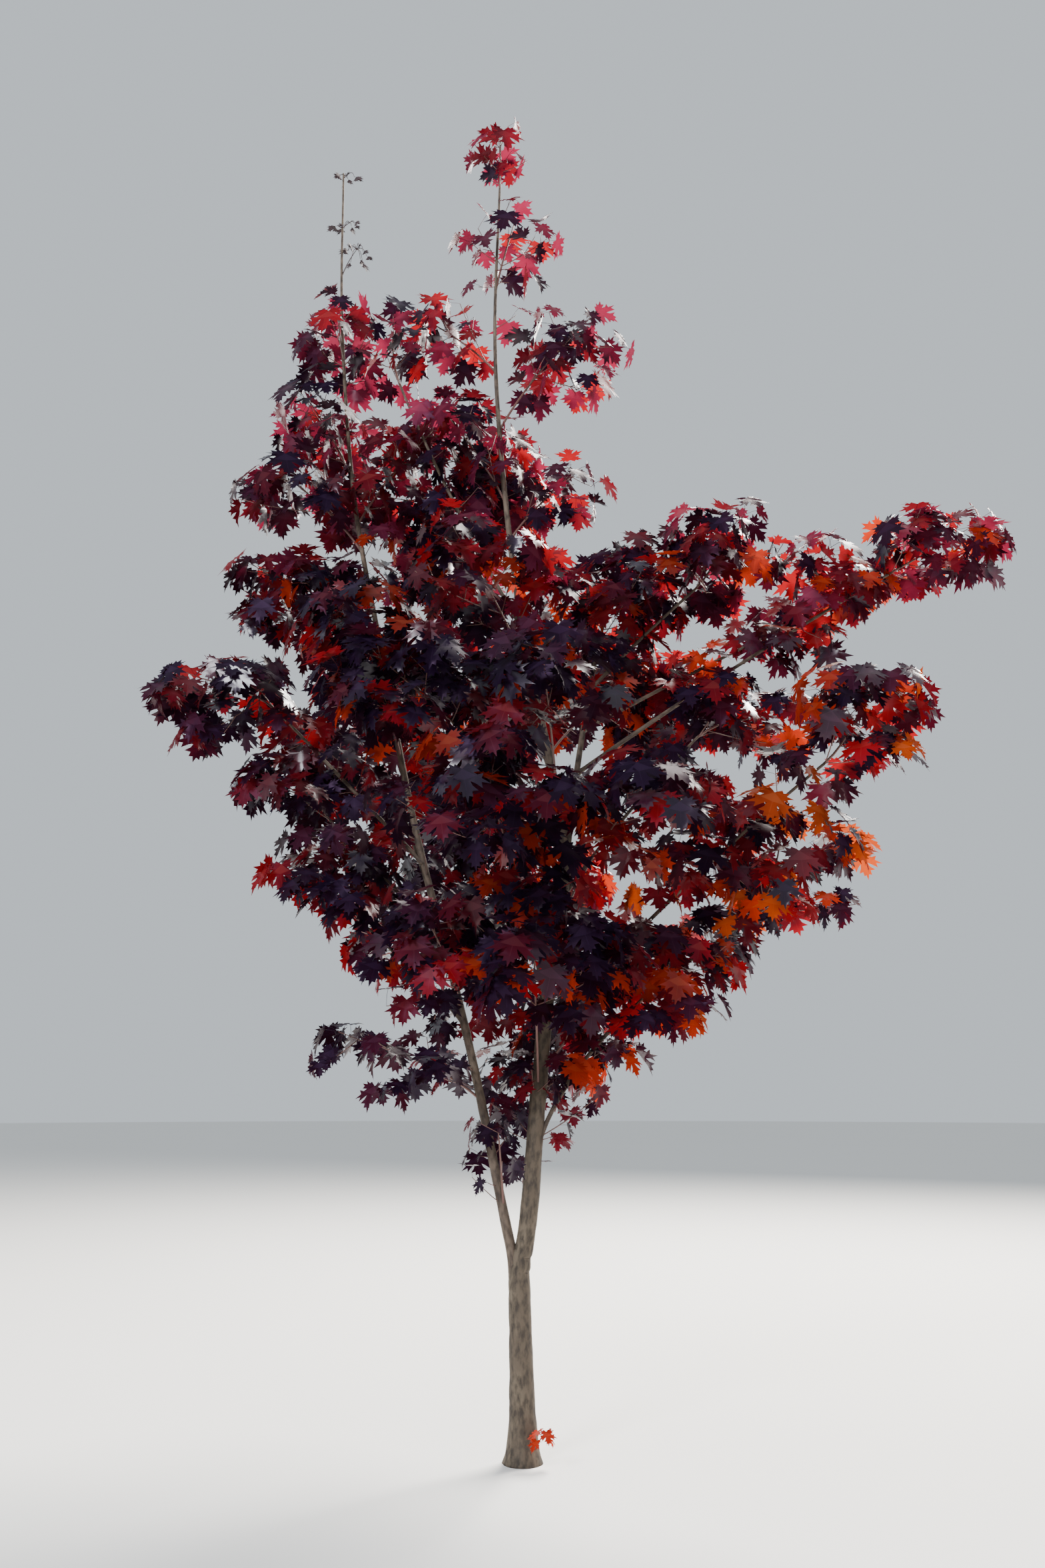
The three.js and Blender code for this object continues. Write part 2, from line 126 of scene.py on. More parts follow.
@dataclass(frozen=True)
class Bough:
    """A bough, in millimetres: it leaves its parent at a height and runs out to a reach and rise.

    Attributes:
        name: Its name.
        parent: The limb that it leaves.
        at: The height where it leaves.
        bearing: Which way it runs out, in degrees, 0 being +X.
        reach: How far out its tip is.
        rise: How far up its tip is.
        lean: How far out its knee is, as a share of the reach.
        foot: Its radius where it leaves.
        tip: Its radius at the tip.
    """

    name: str
    parent: str
    at: float
    bearing: float
    reach: float
    rise: float
    lean: float
    foot: float
    tip: float


@dataclass(frozen=True)
class Mass:
    """A mass of foliage, in millimetres, which fills an egg-shaped space.

    Attributes:
        name: Its name.
        parent: The limb that bears it.
        centre: The middle of its space.
        half: The half sizes of its space.
        at: The height where its stem leaves the limb, or None where it carries on from the tip.
    """

    name: str
    parent: str
    centre: Point
    half: Point
    at: float | None = None

    def space(self) -> tuple[Array, Array]:
        """The middle and the half sizes of its space, in metres."""
        return np.array(self.centre) * MM, np.array(self.half) * MM


FIRST_SEED = 201
FLARE = 26
FLARE_HEIGHT = 75

STEMS = (
    Stem("trunk", 52, 41, ((0, 0, 0), (150, 0, 0), (400, -7, 4), (700, -13, 0)), FLARE),
    Stem("main_stem", 37, 27, (
        (680, -8, 0), (900, 26, -8), (1400, 68, -14), (1900, 118, 2), (2320, 190, 12),
    )),
    Stem("left_leader", 22, 4, (
        (630, -16, 0), (900, -76, 6), (1600, -232, 26), (2460, -460, 14), (3230, -620, -12),
        (4000, -770, -4), (4900, -858, 10), (5740, -880, 0),
    )),
    Stem("upper_leader", 21, 5, (
        (2300, 187, 12), (2650, 140, 16), (3300, 10, 0), (4000, -80, -14), (4800, -130, 0),
        (5660, -112, 10),
    )),
)

BOUGHS = (
    Bough("right_stem", "main_stem", 2240, 20, 175, 1070, 0.35, 16, 9),
    Bough("bough_right_outer", "right_stem", 2700, 1, 1440, 950, 0.45, 10, 5.5),
    Bough("bough_right_middle", "right_stem", 2900, 8, 1000, 560, 0.47, 9, 5.5),
    Bough("bough_right_high", "right_stem", 3090, -6, 480, 460, 0.45, 8, 5.5),
    Bough("bough_right_long", "main_stem", 1600, -14, 1180, 1060, 0.42, 10, 5.5),
    Bough("bough_right_low", "main_stem", 1080, -5, 870, 950, 0.12, 10, 5.5),
    Bough("bough_right_bowed", "main_stem", 2140, 12, 640, 760, 0.42, 9, 5.5),
    Bough("bough_left_long", "left_leader", 2300, 188, 650, 660, 0.5, 10, 5.5),
    Bough("bough_left_middle", "left_leader", 1980, 176, 500, 520, 0.5, 9, 5.5),
    Bough("bough_left_low", "left_leader", 1640, 190, 430, 400, 0.45, 9, 5.5),
    Bough("bough_upper_left", "upper_leader", 3350, 186, 570, 1180, 0.58, 9, 5.5),
    Bough("bough_back_upper", "upper_leader", 2640, 100, 720, 560, 0.45, 10, 6),
    Bough("bough_back_left", "left_leader", 2120, 114, 620, 660, 0.45, 10, 6),
    Bough("bough_back_low", "main_stem", 1500, 99, 600, 600, 0.45, 10, 6),
    Bough("bough_front_upper", "upper_leader", 2470, 235, 760, 270, 0.45, 10, 6),
    Bough("bough_front_low", "main_stem", 1720, 257, 640, 500, 0.45, 10, 6),
)

MASSES = (
    Mass("foliage_top", "upper_leader", (-110, 10, 5870), (190, 190, 205)),
    Mass("foliage_high_right", "upper_leader", (-60, 20, 5330), (270, 220, 250), 5080),
    Mass("foliage_high_left", "upper_leader", (-380, 40, 4820), (270, 280, 280), 4640),
    Mass("foliage_upper_right", "upper_leader", (205, 60, 4740), (300, 290, 350), 4330),
    Mass("foliage_side_right", "upper_leader", (175, 20, 4010), (260, 250, 210), 3780),
    Mass("foliage_inner_left", "upper_leader", (-300, 0, 4260), (275, 300, 330), 3960),
    Mass("foliage_inner_back", "upper_leader", (-110, 340, 4230), (330, 345, 370), 3880),
    Mass("foliage_left_top", "left_leader", (-880, 30, 4850), (250, 270, 310), 4520),
    Mass("foliage_left_crown", "bough_upper_left", (-600, 0, 4730), (245, 270, 265)),
    Mass("foliage_left_upper", "left_leader", (-960, 40, 4370), (290, 310, 280), 4080),
    Mass("foliage_left_inner", "left_leader", (-490, 20, 4150), (300, 310, 430), 3860),
    Mass("foliage_left_side", "left_leader", (-1010, 30, 3990), (340, 320, 225), 3720),
    Mass("foliage_left_wing", "left_leader", (-1000, 40, 3500), (410, 370, 245), 3330),
    Mass("foliage_left_far", "bough_left_long", (-1225, -130, 2960), (500, 395, 260)),
    Mass("foliage_left_front", "left_leader", (-640, -380, 3050), (400, 370, 370), 2760),
    Mass("foliage_left_middle", "bough_left_middle", (-900, 50, 2580), (430, 395, 285)),
    Mass("foliage_left_low", "bough_left_low", (-710, -90, 2140), (375, 370, 310)),
    Mass("foliage_left_bottom", "left_leader", (-560, -70, 1470), (390, 320, 215), 1330),
    Mass("foliage_low_tuft", "left_leader", (-90, -80, 1090), (250, 200, 210), 890),
    Mass("foliage_right_outer", "bough_right_outer", (1835, 0, 3660), (395, 395, 310)),
    Mass("foliage_right_middle", "bough_right_middle", (1350, 60, 3510), (385, 370, 315)),
    Mass("foliage_right_high", "bough_right_high", (870, -40, 3650), (400, 370, 290)),
    Mass("foliage_right_near", "right_stem", (425, 60, 3430), (415, 370, 440)),
    Mass("foliage_right_bowed", "bough_right_bowed", (880, 190, 2870), (530, 395, 390)),
    Mass("foliage_right_long", "bough_right_long", (1340, -395, 2780), (520, 425, 285)),
    Mass("foliage_right_low", "bough_right_low", (1030, -90, 2220), (490, 400, 380)),
    Mass("foliage_right_bottom", "main_stem", (470, -150, 1760), (490, 395, 345), 1420),
    Mass("foliage_right_front", "main_stem", (400, -640, 2310), (435, 395, 340), 1980),
    Mass("foliage_front_upper", "bough_front_upper", (-435, -750, 2785), (420, 395, 330)),
    Mass("foliage_front_middle", "upper_leader", (80, -700, 2820), (420, 395, 370), 2600),
    Mass("foliage_front_low", "bough_front_low", (-125, -850, 2330), (455, 395, 330)),
    Mass("foliage_front_high", "upper_leader", (-200, -425, 3390), (430, 380, 330), 3080),
    Mass("foliage_back_high", "left_leader", (-370, 450, 3880), (500, 465, 430), 3150),
    Mass("foliage_back_left", "bough_back_left", (-645, 720, 3010), (530, 550, 430)),
    Mass("foliage_back_middle", "bough_back_upper", (-30, 860, 3290), (575, 585, 460)),
    Mass("foliage_back_right", "upper_leader", (535, 690, 3160), (530, 515, 430), 2780),
    Mass("foliage_back_low", "bough_back_low", (-60, 720, 2310), (655, 595, 460)),
    Mass("foliage_lower_left", "left_leader", (-330, -430, 1840), (380, 370, 350), 1700),
    Mass("foliage_lower_front", "main_stem", (40, -570, 1850), (455, 395, 340), 1360),
    Mass("foliage_lower_right", "main_stem", (90, 90, 1430), (370, 330, 310), 1130),
)


class Value:
    """A node socket that Python's arithmetic adds Math nodes to."""

    def __init__(self, tree: NodeTree, socket: NodeSocket) -> None:
        """Wraps an output socket of a node tree."""
        self.tree = tree
        self.socket = socket

    def _math(self, operation: str, *terms: "Value | float") -> "Value":
        """Adds one Math node.

        Args:
            operation: The node's operation.
            *terms: Its inputs in order, as values or numbers.

        Returns:
            The result.
        """
        node = self.tree.nodes.new("ShaderNodeMath")
        node.operation = operation
        for place, term in zip(node.inputs, terms):
            if isinstance(term, Value):
                self.tree.links.new(term.socket, place)
            else:
                place.default_value = term
        return Value(self.tree, node.outputs[0])

    def __add__(self, other: "Value | float") -> "Value":
        """The sum."""
        return self._math("ADD", self, other)

    def __sub__(self, other: "Value | float") -> "Value":
        """The difference."""
        return self._math("SUBTRACT", self, other)

    def __rsub__(self, other: float) -> "Value":
        """The difference, with the number first."""
        return self._math("SUBTRACT", other, self)

    def __mul__(self, other: "Value | float") -> "Value":
        """The product."""
        return self._math("MULTIPLY", self, other)

    __radd__ = __add__
    __rmul__ = __mul__

    def size(self) -> "Value":
        """The value without its sign."""
        return self._math("ABSOLUTE", self)

    def sine(self) -> "Value":
        """The sine."""
        return self._math("SINE", self)

    def cosine(self) -> "Value":
        """The cosine."""
        return self._math("COSINE", self)

    def between(self, low: float, high: float) -> "Value":
        """The value as a share from 0 at low to 1 at high, held inside.

        Args:
            low: Where the share is 0.
            high: Where the share is 1.

        Returns:
            The share.
        """
        node = self.tree.nodes.new("ShaderNodeMapRange")
        node.clamp = True
        self.tree.links.new(self.socket, node.inputs["Value"])
        node.inputs["From Min"].default_value = low
        node.inputs["From Max"].default_value = high
        return Value(self.tree, node.outputs["Result"])


class Graph:
    """A node tree that nodes are added to by their type, settings and sockets."""

    MIX_SHARE = 0
    MIX_COLOURS = (6, 7)
    MIX_RESULT = 2

    def __init__(self, tree: NodeTree) -> None:
        """Wraps the tree that nodes go into."""
        self.tree = tree

    def add(
        self,
        kind: str,
        settings: dict[str, object] | None = None,
        sockets: dict[str | int, object] | None = None,
    ) -> Node:
        """Adds a node.

        Args:
            kind: The node's type.
            settings: Its own settings, set first. Its captures are (name, data type) pairs.
            sockets: Values or links by socket name, or by number where names repeat.

        Returns:
            The node.
        """
        node = self.tree.nodes.new(kind)
        for name, value in (settings or {}).items():
            if name == "captures":
                for item, data_type in value:
                    node.capture_items.new(data_type, item)
            else:
                setattr(node, name, value)
        self.fill(node, sockets or {})
        return node

    def fill(self, node: Node, sockets: dict[str | int, object]) -> None:
        """Links or sets inputs of a node.

        Args:
            node: The node.
            sockets: A Value, a node (its first shown output), an output socket or a constant for
                each input.
        """
        for name, value in sockets.items():
            if isinstance(value, Value):
                value = value.socket
            if isinstance(value, Node):
                value = next(output for output in value.outputs if output.enabled)
            if isinstance(value, NodeSocket):
                self.tree.links.new(value, node.inputs[name])
            else:
                node.inputs[name].default_value = value

    def value(self, node: Node, output: str | int = 0) -> Value:
        """One output of a node, by its name or number, to reckon with."""
        return Value(self.tree, node.outputs[output])

    def attribute(self, name: str) -> Node:
        """A shader node that reads one attribute of the mesh."""
        return self.add("ShaderNodeAttribute", {"attribute_name": name})

    def noise(self, place: object, scale: float, detail: float = 2.0) -> Value:
        """A noise texture read at a place, with so many lumps to a metre and finer layers."""
        sockets = {"Vector": place, "Scale": scale, "Detail": detail}
        return self.value(self.add("ShaderNodeTexNoise", sockets=sockets))

    def mix(self, share: object, first: object, second: object) -> NodeSocket:
        """A mix of two colours.

        Args:
            share: How much of the second there is, from 0 to 1.
            first: The first colour, as three numbers or an output socket.
            second: The second colour, in the same way.

        Returns:
            The output socket of the mixed colour.
        """
        sockets = {self.MIX_SHARE: share}
        for place, part in zip(self.MIX_COLOURS, (first, second)):
            sockets[place] = (*part, 1.0) if isinstance(part, tuple) else part
        return self.add("ShaderNodeMix", {"data_type": "RGBA"}, sockets).outputs[self.MIX_RESULT]


def stand(name: str, data: ID) -> Object:
    """Makes an object and puts it in the scene.

    Args:
        name: Its name.
        data: Its mesh, lamp or camera.

    Returns:
        The object.
    """
    made = bpy.data.objects.new(name, data)
    bpy.context.scene.collection.objects.link(made)
    return made


class Growth:
    """A Geometry Nodes group with named inputs, which turns a mesh of points into a finished mesh."""

    KEPT = ("material_index", "sharp_face")

    def __init__(self, name: str, inputs: dict[str, tuple[str, object]]) -> None:
        """Starts the group.

        Args:
            name: The group's name.
            inputs: Socket type and starting value by input name.
        """
        self.group = bpy.data.node_groups.new(name, "GeometryNodeTree")
        self.graph = Graph(self.group)
        self.keys: dict[str, str] = {}
        face = self.group.interface
        face.new_socket("Geometry", in_out="INPUT", socket_type="NodeSocketGeometry")
        for label, (kind, start) in inputs.items():
            socket = face.new_socket(label, in_out="INPUT", socket_type=kind)
            if start is not None:
                socket.default_value = start
            self.keys[label] = socket.identifier
        face.new_socket("Geometry", in_out="OUTPUT", socket_type="NodeSocketGeometry")
        self.start = self.graph.add("NodeGroupInput")

    def given(self, label: str) -> NodeSocket:
        """The output socket inside the group that carries one of its inputs."""
        return self.start.outputs[label]

    def number(self, label: str) -> Value:
        """One of the group's inputs, inside the group, as a number to reckon with."""
        return Value(self.group, self.given(label))

    def named(self, attribute: str, data_type: str = "FLOAT") -> Node:
        """Adds a node that reads one attribute of the points.

        Args:
            attribute: The attribute's name.
            data_type: Its type, in the words of Blender.

        Returns:
            The node.
        """
        return self.graph.add(
            "GeometryNodeInputNamedAttribute", {"data_type": data_type}, {"Name": attribute}
        )

    def captured(self, geometry: Node, label: str, output: str) -> Node:
        """Adds a node that keeps one output of the spline parameter on the points of curves.

        Args:
            geometry: The node whose geometry is the curves.
            label: What the captured value is called.
            output: The output.

        Returns:
            The node, whose second output is the captured value.
        """
        measure = self.graph.add("GeometryNodeSplineParameter").outputs[output]
        return self.graph.add(
            "GeometryNodeCaptureAttribute",
            {"captures": [(label, "FLOAT")]},
            {"Geometry": geometry, 1: measure},
        )

    def end(self, geometry: Node) -> None:
        """Realizes the geometry, gives it the finish and makes it the group's result.

        Args:
            geometry: The node whose geometry is the result.
        """
        real = self.graph.add("GeometryNodeRealizeInstances", sockets={"Geometry": geometry})
        dressed = self.graph.add(
            "GeometryNodeSetMaterial", sockets={"Geometry": real, "Material": self.given("Finish")}
        )
        self.graph.add("NodeGroupOutput", sockets={"Geometry": dressed})

    def run(
        self, name: str, base: Mesh, values: dict[str, object], keep: Sequence[str] = ()
    ) -> Object:
        """Runs the group on a mesh, and keeps the result as a plain mesh.

        Args:
            name: The finished piece's name.
            base: The mesh of points that the group starts from.
            values: Values for the group's inputs, by name.
            keep: Attributes that the finish reads; the rest are dropped.

        Returns:
            The finished piece.
        """
        seed = stand(name + "_seed", base)
        modifier = seed.modifiers.new("growth", "NODES")
        modifier.node_group = self.group
        for label, value in values.items():
            modifier[self.keys[label]] = value
        whole = seed.evaluated_get(bpy.context.evaluated_depsgraph_get())
        mesh = bpy.data.meshes.new_from_object(whole)
        bpy.data.objects.remove(seed)
        for label in [layer.name for layer in mesh.attributes if not layer.is_required]:
            if label not in (*keep, *self.KEPT):
                mesh.attributes.remove(mesh.attributes[label])
        mesh.name = name
        return stand(name, mesh)


def point_mesh(
    name: str,
    points: Sequence[Sequence[float]],
    edges: Sequence[tuple[int, int]] = (),
    faces: Sequence[Sequence[int]] = (),
    **attributes: Sequence[object],
) -> Mesh:
    """Makes a mesh of points, with the edges and faces that join them.

    Args:
        name: The mesh's name.
        points: One row of x, y and z for each point.
        edges: Pairs of point numbers.
        faces: The point numbers of each face.
        **attributes: Values for each point: whole numbers, numbers, or rows of three.

    Returns:
        The mesh.
    """
    mesh = bpy.data.meshes.new(name)
    mesh.from_pydata(np.asarray(points).tolist(), list(edges), list(faces))
    for label, values in attributes.items():
        array = np.asarray(values)
        if array.ndim == 2:
            layer = mesh.attributes.new(label, "FLOAT_VECTOR", "POINT")
            layer.data.foreach_set("vector", array.astype(np.float32).ravel())
        elif array.dtype.kind == "i":
            layer = mesh.attributes.new(label, "INT", "POINT")
            layer.data.foreach_set("value", array.astype(np.int32))
        else:
            layer = mesh.attributes.new(label, "FLOAT", "POINT")
            layer.data.foreach_set("value", array.astype(np.float32))
    return mesh


def new_material(name: str) -> tuple[Material, Graph, Node, Node]:
    """Starts a material.

    Args:
        name: The material's name.

    Returns:
        The material, its graph, its Principled shader and its output node.
    """
    material = bpy.data.materials.new(name)
    material.use_nodes = True
    nodes = material.node_tree.nodes
    return material, Graph(material.node_tree), nodes["Principled BSDF"], nodes["Material Output"]


def settle(pieces: Sequence[Object], replaced: Sequence[str] = ()) -> None:
    """Gives finished pieces their body, and hides the nodes that they stand for.

    Args:
        pieces: The pieces.
        replaced: The nodes that they replace.
    """
    for piece in pieces:
        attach(piece, BODY)
        if replaced:
            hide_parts(*replaced)


@dataclass(frozen=True)
class BarkFinish:
    """Smooth young bark, streaked along the limb, with darker furrows and pale grey bloom."""

    name: str
    furrow: Colour
    bark: Colour
    bloom: Colour
    streaks: float = 60.0
    streak_detail: float = 4.0
    patches: float = 10.0
    furrow_range: Range = (0.34, 0.6)
    bloom_range: Range = (0.48, 0.7)
    bloom_share: float = 0.75
    relief: float = 0.35
    depth: float = 1.5 * MM
    roughness: float = 0.78
    bloom_roughness: float = 0.12

    def material(self) -> Material:
        """Makes the material, which reads the limb's own grain attribute.

        Returns:
            The material.
        """
        material, graph, shader, _ = new_material(self.name)
        along = graph.attribute("grain").outputs["Vector"]
        furrow = graph.noise(along, self.streaks, self.streak_detail).between(*self.furrow_range)
        bloom = graph.noise(along, self.patches).between(*self.bloom_range)
        plain = graph.mix(bloom * self.bloom_share, self.bark, self.bloom)
        relief = {"Height": furrow, "Strength": self.relief, "Distance": self.depth}
        sockets = {
            "Base Color": graph.mix(furrow, self.furrow, plain),
            "Normal": graph.add("ShaderNodeBump", sockets=relief),
            "Roughness": self.roughness + self.bloom_roughness * bloom,
        }
        graph.fill(shader, sockets)
        return material


@dataclass(frozen=True)
class LeafFinish:
    """A leaf of one tint: satin above, waxy where its leaf says so, and lit through from behind."""

    name: str
    blade: Colour
    vein: Colour
    glow: Colour
    through: float
    rib: Range = (0.9, 1.0)
    rib_share: float = 0.6
    patches: float = 9.0
    patch_range: Range = (0.3, 0.7)
    deep: float = 0.6
    roughness: float = 0.47
    patch_gloss: float = 0.1
    gloss: float = 0.14
    sheen: Colour = (0.80, 0.48, 0.85)
    wax_roughness: float = 0.23
    wax_index: float = 1.55

    def material(self) -> Material:
        """Makes the material, which reads the leaf's own vein and wax attributes.

        Returns:
            The material.
        """
        material, graph, shader, output = new_material("leaf_" + self.name)
        rib = graph.value(graph.attribute("vein"), "Fac").between(*self.rib)
        place = graph.add("ShaderNodeTexCoord").outputs["Object"]
        patch = graph.noise(place, self.patches).between(*self.patch_range)
        flesh = graph.mix(patch, tuple(self.deep * part for part in self.blade), self.blade)
        sockets = {
            "Base Color": graph.mix(rib * self.rib_share, flesh, self.vein),
            "Roughness": self.roughness - self.patch_gloss * patch,
            "Specular IOR Level": self.gloss,
            "Specular Tint": (*self.sheen, 1.0),
            "Coat Weight": graph.value(graph.attribute("wax"), "Fac"),
            "Coat Roughness": self.wax_roughness,
            "Coat IOR": self.wax_index,
        }
        graph.fill(shader, sockets)
        lit = graph.add("ShaderNodeBsdfTranslucent", sockets={"Color": (*self.glow, 1.0)})
        both = graph.add("ShaderNodeMixShader", sockets={0: self.through, 1: shader, 2: lit})
        graph.fill(output, {"Surface": both})
        return material


@dataclass(frozen=True)
class PlainFinish:
    """A matt finish with a faint mottle."""

    name: str
    colour: Colour
    roughness: float = 0.8
    mottle: float = 0.12
    grain: float = 30.0

    def material(self) -> Material:
        """Makes the material, on Object coordinates.

        Returns:
            The material.
        """
        material, graph, shader, _ = new_material(self.name)
        place = graph.add("ShaderNodeTexCoord").outputs["Object"]
        dark = tuple(part * (1 - self.mottle) for part in self.colour)
        colour = graph.mix(graph.noise(place, self.grain), dark, self.colour)
        graph.fill(shader, {"Base Color": colour, "Roughness": self.roughness})
        return material


class Tint(Enum):
    """The leaf colours, from the shaded side to the side that the sun shines through: over the leaves'
    own purple and crimson, the darkest are painted shade and the reds and oranges are partly painted
    sunlight shining through.
    """

    NIGHT = LeafFinish("night", (0.007, 0.003, 0.012), (0.018, 0.009, 0.026), (0.06, 0.004, 0.012), 0.10)
    PLUM = LeafFinish("plum", (0.016, 0.004, 0.013), (0.040, 0.014, 0.030), (0.12, 0.006, 0.018), 0.20)
    MAUVE = LeafFinish("mauve", (0.058, 0.008, 0.025), (0.11, 0.027, 0.048), (0.24, 0.013, 0.038), 0.42)
    WINE = LeafFinish("wine", (0.036, 0.003, 0.009), (0.08, 0.018, 0.024), (0.19, 0.006, 0.012), 0.36)
    RUBY = LeafFinish("ruby", (0.105, 0.005, 0.011), (0.18, 0.03, 0.028), (0.33, 0.007, 0.011), 0.46)
    EMBER = LeafFinish("ember", (0.21, 0.015, 0.006), (0.28, 0.05, 0.02), (0.43, 0.026, 0.006), 0.50)
    COPPER = LeafFinish("copper", (0.26, 0.038, 0.008), (0.32, 0.09, 0.03), (0.48, 0.060, 0.008), 0.50)


# The upper limit of a spray's painted light for each tint, from painted shade to painted sunlight
# shining through; high in the crown the orange tints give way to mauve.
LOW_TINTS = (
    (0.26, Tint.NIGHT), (0.44, Tint.PLUM), (0.60, Tint.WINE), (0.75, Tint.RUBY), (0.90, Tint.EMBER),
    (1.0, Tint.COPPER),
)
HIGH_TINTS = (
    (0.06, Tint.NIGHT), (0.24, Tint.PLUM), (0.58, Tint.MAUVE), (0.72, Tint.WINE), (1.0, Tint.RUBY),
)
TRUNK_BARK = BarkFinish(
    "trunk_bark", (0.026, 0.018, 0.012), (0.080, 0.058, 0.039), (0.17, 0.135, 0.095)
)
BOUGH_BARK = BarkFinish(
    "bough_bark", (0.034, 0.022, 0.016), (0.10, 0.070, 0.050), (0.20, 0.155, 0.115)
)
TWIG_BARK = PlainFinish("twig_bark", (0.13, 0.055, 0.045), roughness=0.55)
WITHERED = PlainFinish("withered_leaf", (0.060, 0.034, 0.038), roughness=0.8, mottle=0.5)
FLOOR = PlainFinish("studio_floor", (0.80, 0.79, 0.77), roughness=0.9, mottle=0.02, grain=0.4)


class Stream:
    """A repeatable stream of numbers from 0 to 1, the one that the solids grow by."""

    WORD = 0xFFFFFFFF
    STEP = 0x6D2B79F5

    def __init__(self, seed: int) -> None:
        """Starts the stream at a seed."""
        self.state = seed & self.WORD

    def share(self) -> float:
        """Draws the next number.

        Returns:
            A number from 0 to 1.
        """
        self.state = (self.state + self.STEP) & self.WORD
        word = ((self.state ^ (self.state >> 15)) * (self.state | 1)) & self.WORD
        word ^= (word + (((word ^ (word >> 7)) * (word | 61)) & self.WORD)) & self.WORD
        return (word ^ (word >> 14)) / (self.WORD + 1)

    def between(self, low: float, high: float) -> float:
        """The next number, from low to high."""
        return low + (high - low) * self.share()


def unit(vector: Array) -> Array:
    """The vector at length 1."""
    return vector / max(float(np.linalg.norm(vector)), LEAST)


def turned(vector: Array, axis: Array, angle: float) -> Array:
    """Turns a vector about an axis of length 1.

    Args:
        vector: The vector.
        axis: The axis.
        angle: The angle in radians.

    Returns:
        The turned vector.
    """
    along = axis * float(vector @ axis)
    across = vector - along
    return along + across * math.cos(angle) + np.cross(axis, across) * math.sin(angle)


class Course:
    """A centre line, held as many samples at even steps of its share from 0 to 1."""

    SAMPLES = 241
    LOOK = 0.005

    def __init__(self, points: Array) -> None:
        """Keeps the samples."""
        self.points = points
        self.shares = np.linspace(0.0, 1.0, len(points))

    @classmethod
    def through(cls, stations: Array) -> "Course":
        """A smooth course through stations.

        Args:
            stations: The points that it passes, one row each.

        Returns:
            The course.
        """
        ends = (2 * stations[0] - stations[1], 2 * stations[-1] - stations[-2])
        line = np.vstack((ends[0], stations, ends[1]))
        place = np.linspace(0.0, len(stations) - 1.0, cls.SAMPLES)
        left = np.minimum(place.astype(int), len(stations) - 2)
        t = (place - left)[:, None]
        before, start, end, after = (line[left + step] for step in range(4))
        leave, arrive = 0.5 * (end - before), 0.5 * (after - start)
        points = (
            (2 * t**3 - 3 * t**2 + 1) * start
            + (t**3 - 2 * t**2 + t) * leave
            + (3 * t**2 - 2 * t**3) * end
            + (t**3 - t**2) * arrive
        )
        return cls(points)

    @classmethod
    def bent(cls, start: Array, knee: Array, end: Array) -> "Course":
        """A course that leaves its start towards a knee and arrives at its end from it."""
        t = np.linspace(0.0, 1.0, cls.SAMPLES)[:, None]
        return cls((1 - t) ** 2 * start + 2 * t * (1 - t) * knee + t**2 * end)

    def at(self, share: float) -> Array:
        """The point at a share of the course."""
        return np.array([np.interp(share, self.shares, self.points[:, axis]) for axis in range(3)])

    def heading(self, share: float) -> Array:
        """The direction of length 1 at a share of the course."""
        low, high = max(share - self.LOOK, 0.0), min(share + self.LOOK, 1.0)
        return unit(self.at(high) - self.at(low))

    def share_at_height(self, height: float) -> float:
        """The share at which a rising course passes a height."""
        return float(np.interp(height, self.points[:, 2], self.shares))

    def runs(self) -> Array:
        """The distance from the start at each sample."""
        steps = np.linalg.norm(np.diff(self.points, axis=0), axis=1)
        return np.concatenate(((0.0,), np.cumsum(steps)))


@dataclass(frozen=True)
class Limb:
    """A limb: its course and its radius at each sample, in metres."""

    course: Course
    radii: Array


@dataclass
class Skeleton:
    """The trunk, stems and boughs, and where each mass's stem leaves them."""

    stem_height: float = 0.22
    stem_overshoot: float = 0.35
    stem_rise: float = 0.35
    seat: float = 0.3 * MM
    entry_level: float = 0.9
    limbs: dict[str, Limb] = field(default_factory=dict)

    def __post_init__(self) -> None:
        """Works the limbs out from their sizes."""
        for stem in STEMS:
            stations = np.array([(x, y, z) for z, x, y in stem.course]) * MM
            self.limbs[stem.name] = self.taper(Course.through(stations), stem)
        for bough in BOUGHS:
            parent = self.limbs[bough.parent].course
            start = parent.at(parent.share_at_height(bough.at * MM))
            angle = math.radians(bough.bearing)
            out = np.array((math.cos(angle), math.sin(angle), 0.0)) * bough.reach * MM
            rise = UP * bough.rise * MM
            course = Course.bent(start, start + out * bough.lean + rise / 2, start + out + rise)
            self.limbs[bough.name] = self.taper(course, bough)

    @staticmethod
    def taper(course: Course, row: Stem | Bough) -> Limb:
        """Gives a course its radii.

        Args:
            course: The centre line.
            row: The limb's sizes.

        Returns:
            The limb.
        """
        radii = (row.foot + (row.tip - row.foot) * course.shares) * MM
        flare = getattr(row, "flare", 0.0)
        if flare:
            radii = radii + flare * MM * np.exp(-course.runs() / (FLARE_HEIGHT * MM))
        return Limb(course, radii)

    def mass_stem(self, mass: Mass) -> tuple[Course, float]:
        """The stem that carries a mass.

        Args:
            mass: The mass.

        Returns:
            Its course, and the share at which it enters the mass's space.
        """
        limb = self.limbs[mass.parent].course
        centre, half = mass.space()
        share = 1.0 if mass.at is None else limb.share_at_height(mass.at * MM)
        start = limb.at(share)
        over = centre + UP * half[2] * self.stem_height
        heading = unit(over - start)
        end = over + heading * self.stem_overshoot / float(np.linalg.norm(heading / half))
        first = unit(heading + UP * self.stem_rise)
        if mass.at is None:
            first = limb.heading(1.0)
            start = start + first * self.seat
        knee = start + first * float(np.linalg.norm(over - start)) / 2
        course = Course.bent(start, knee, end)
        levels = np.linalg.norm((course.points - centre) / half, axis=1)
        return course, float(course.shares[np.argmax(levels <= self.entry_level)])


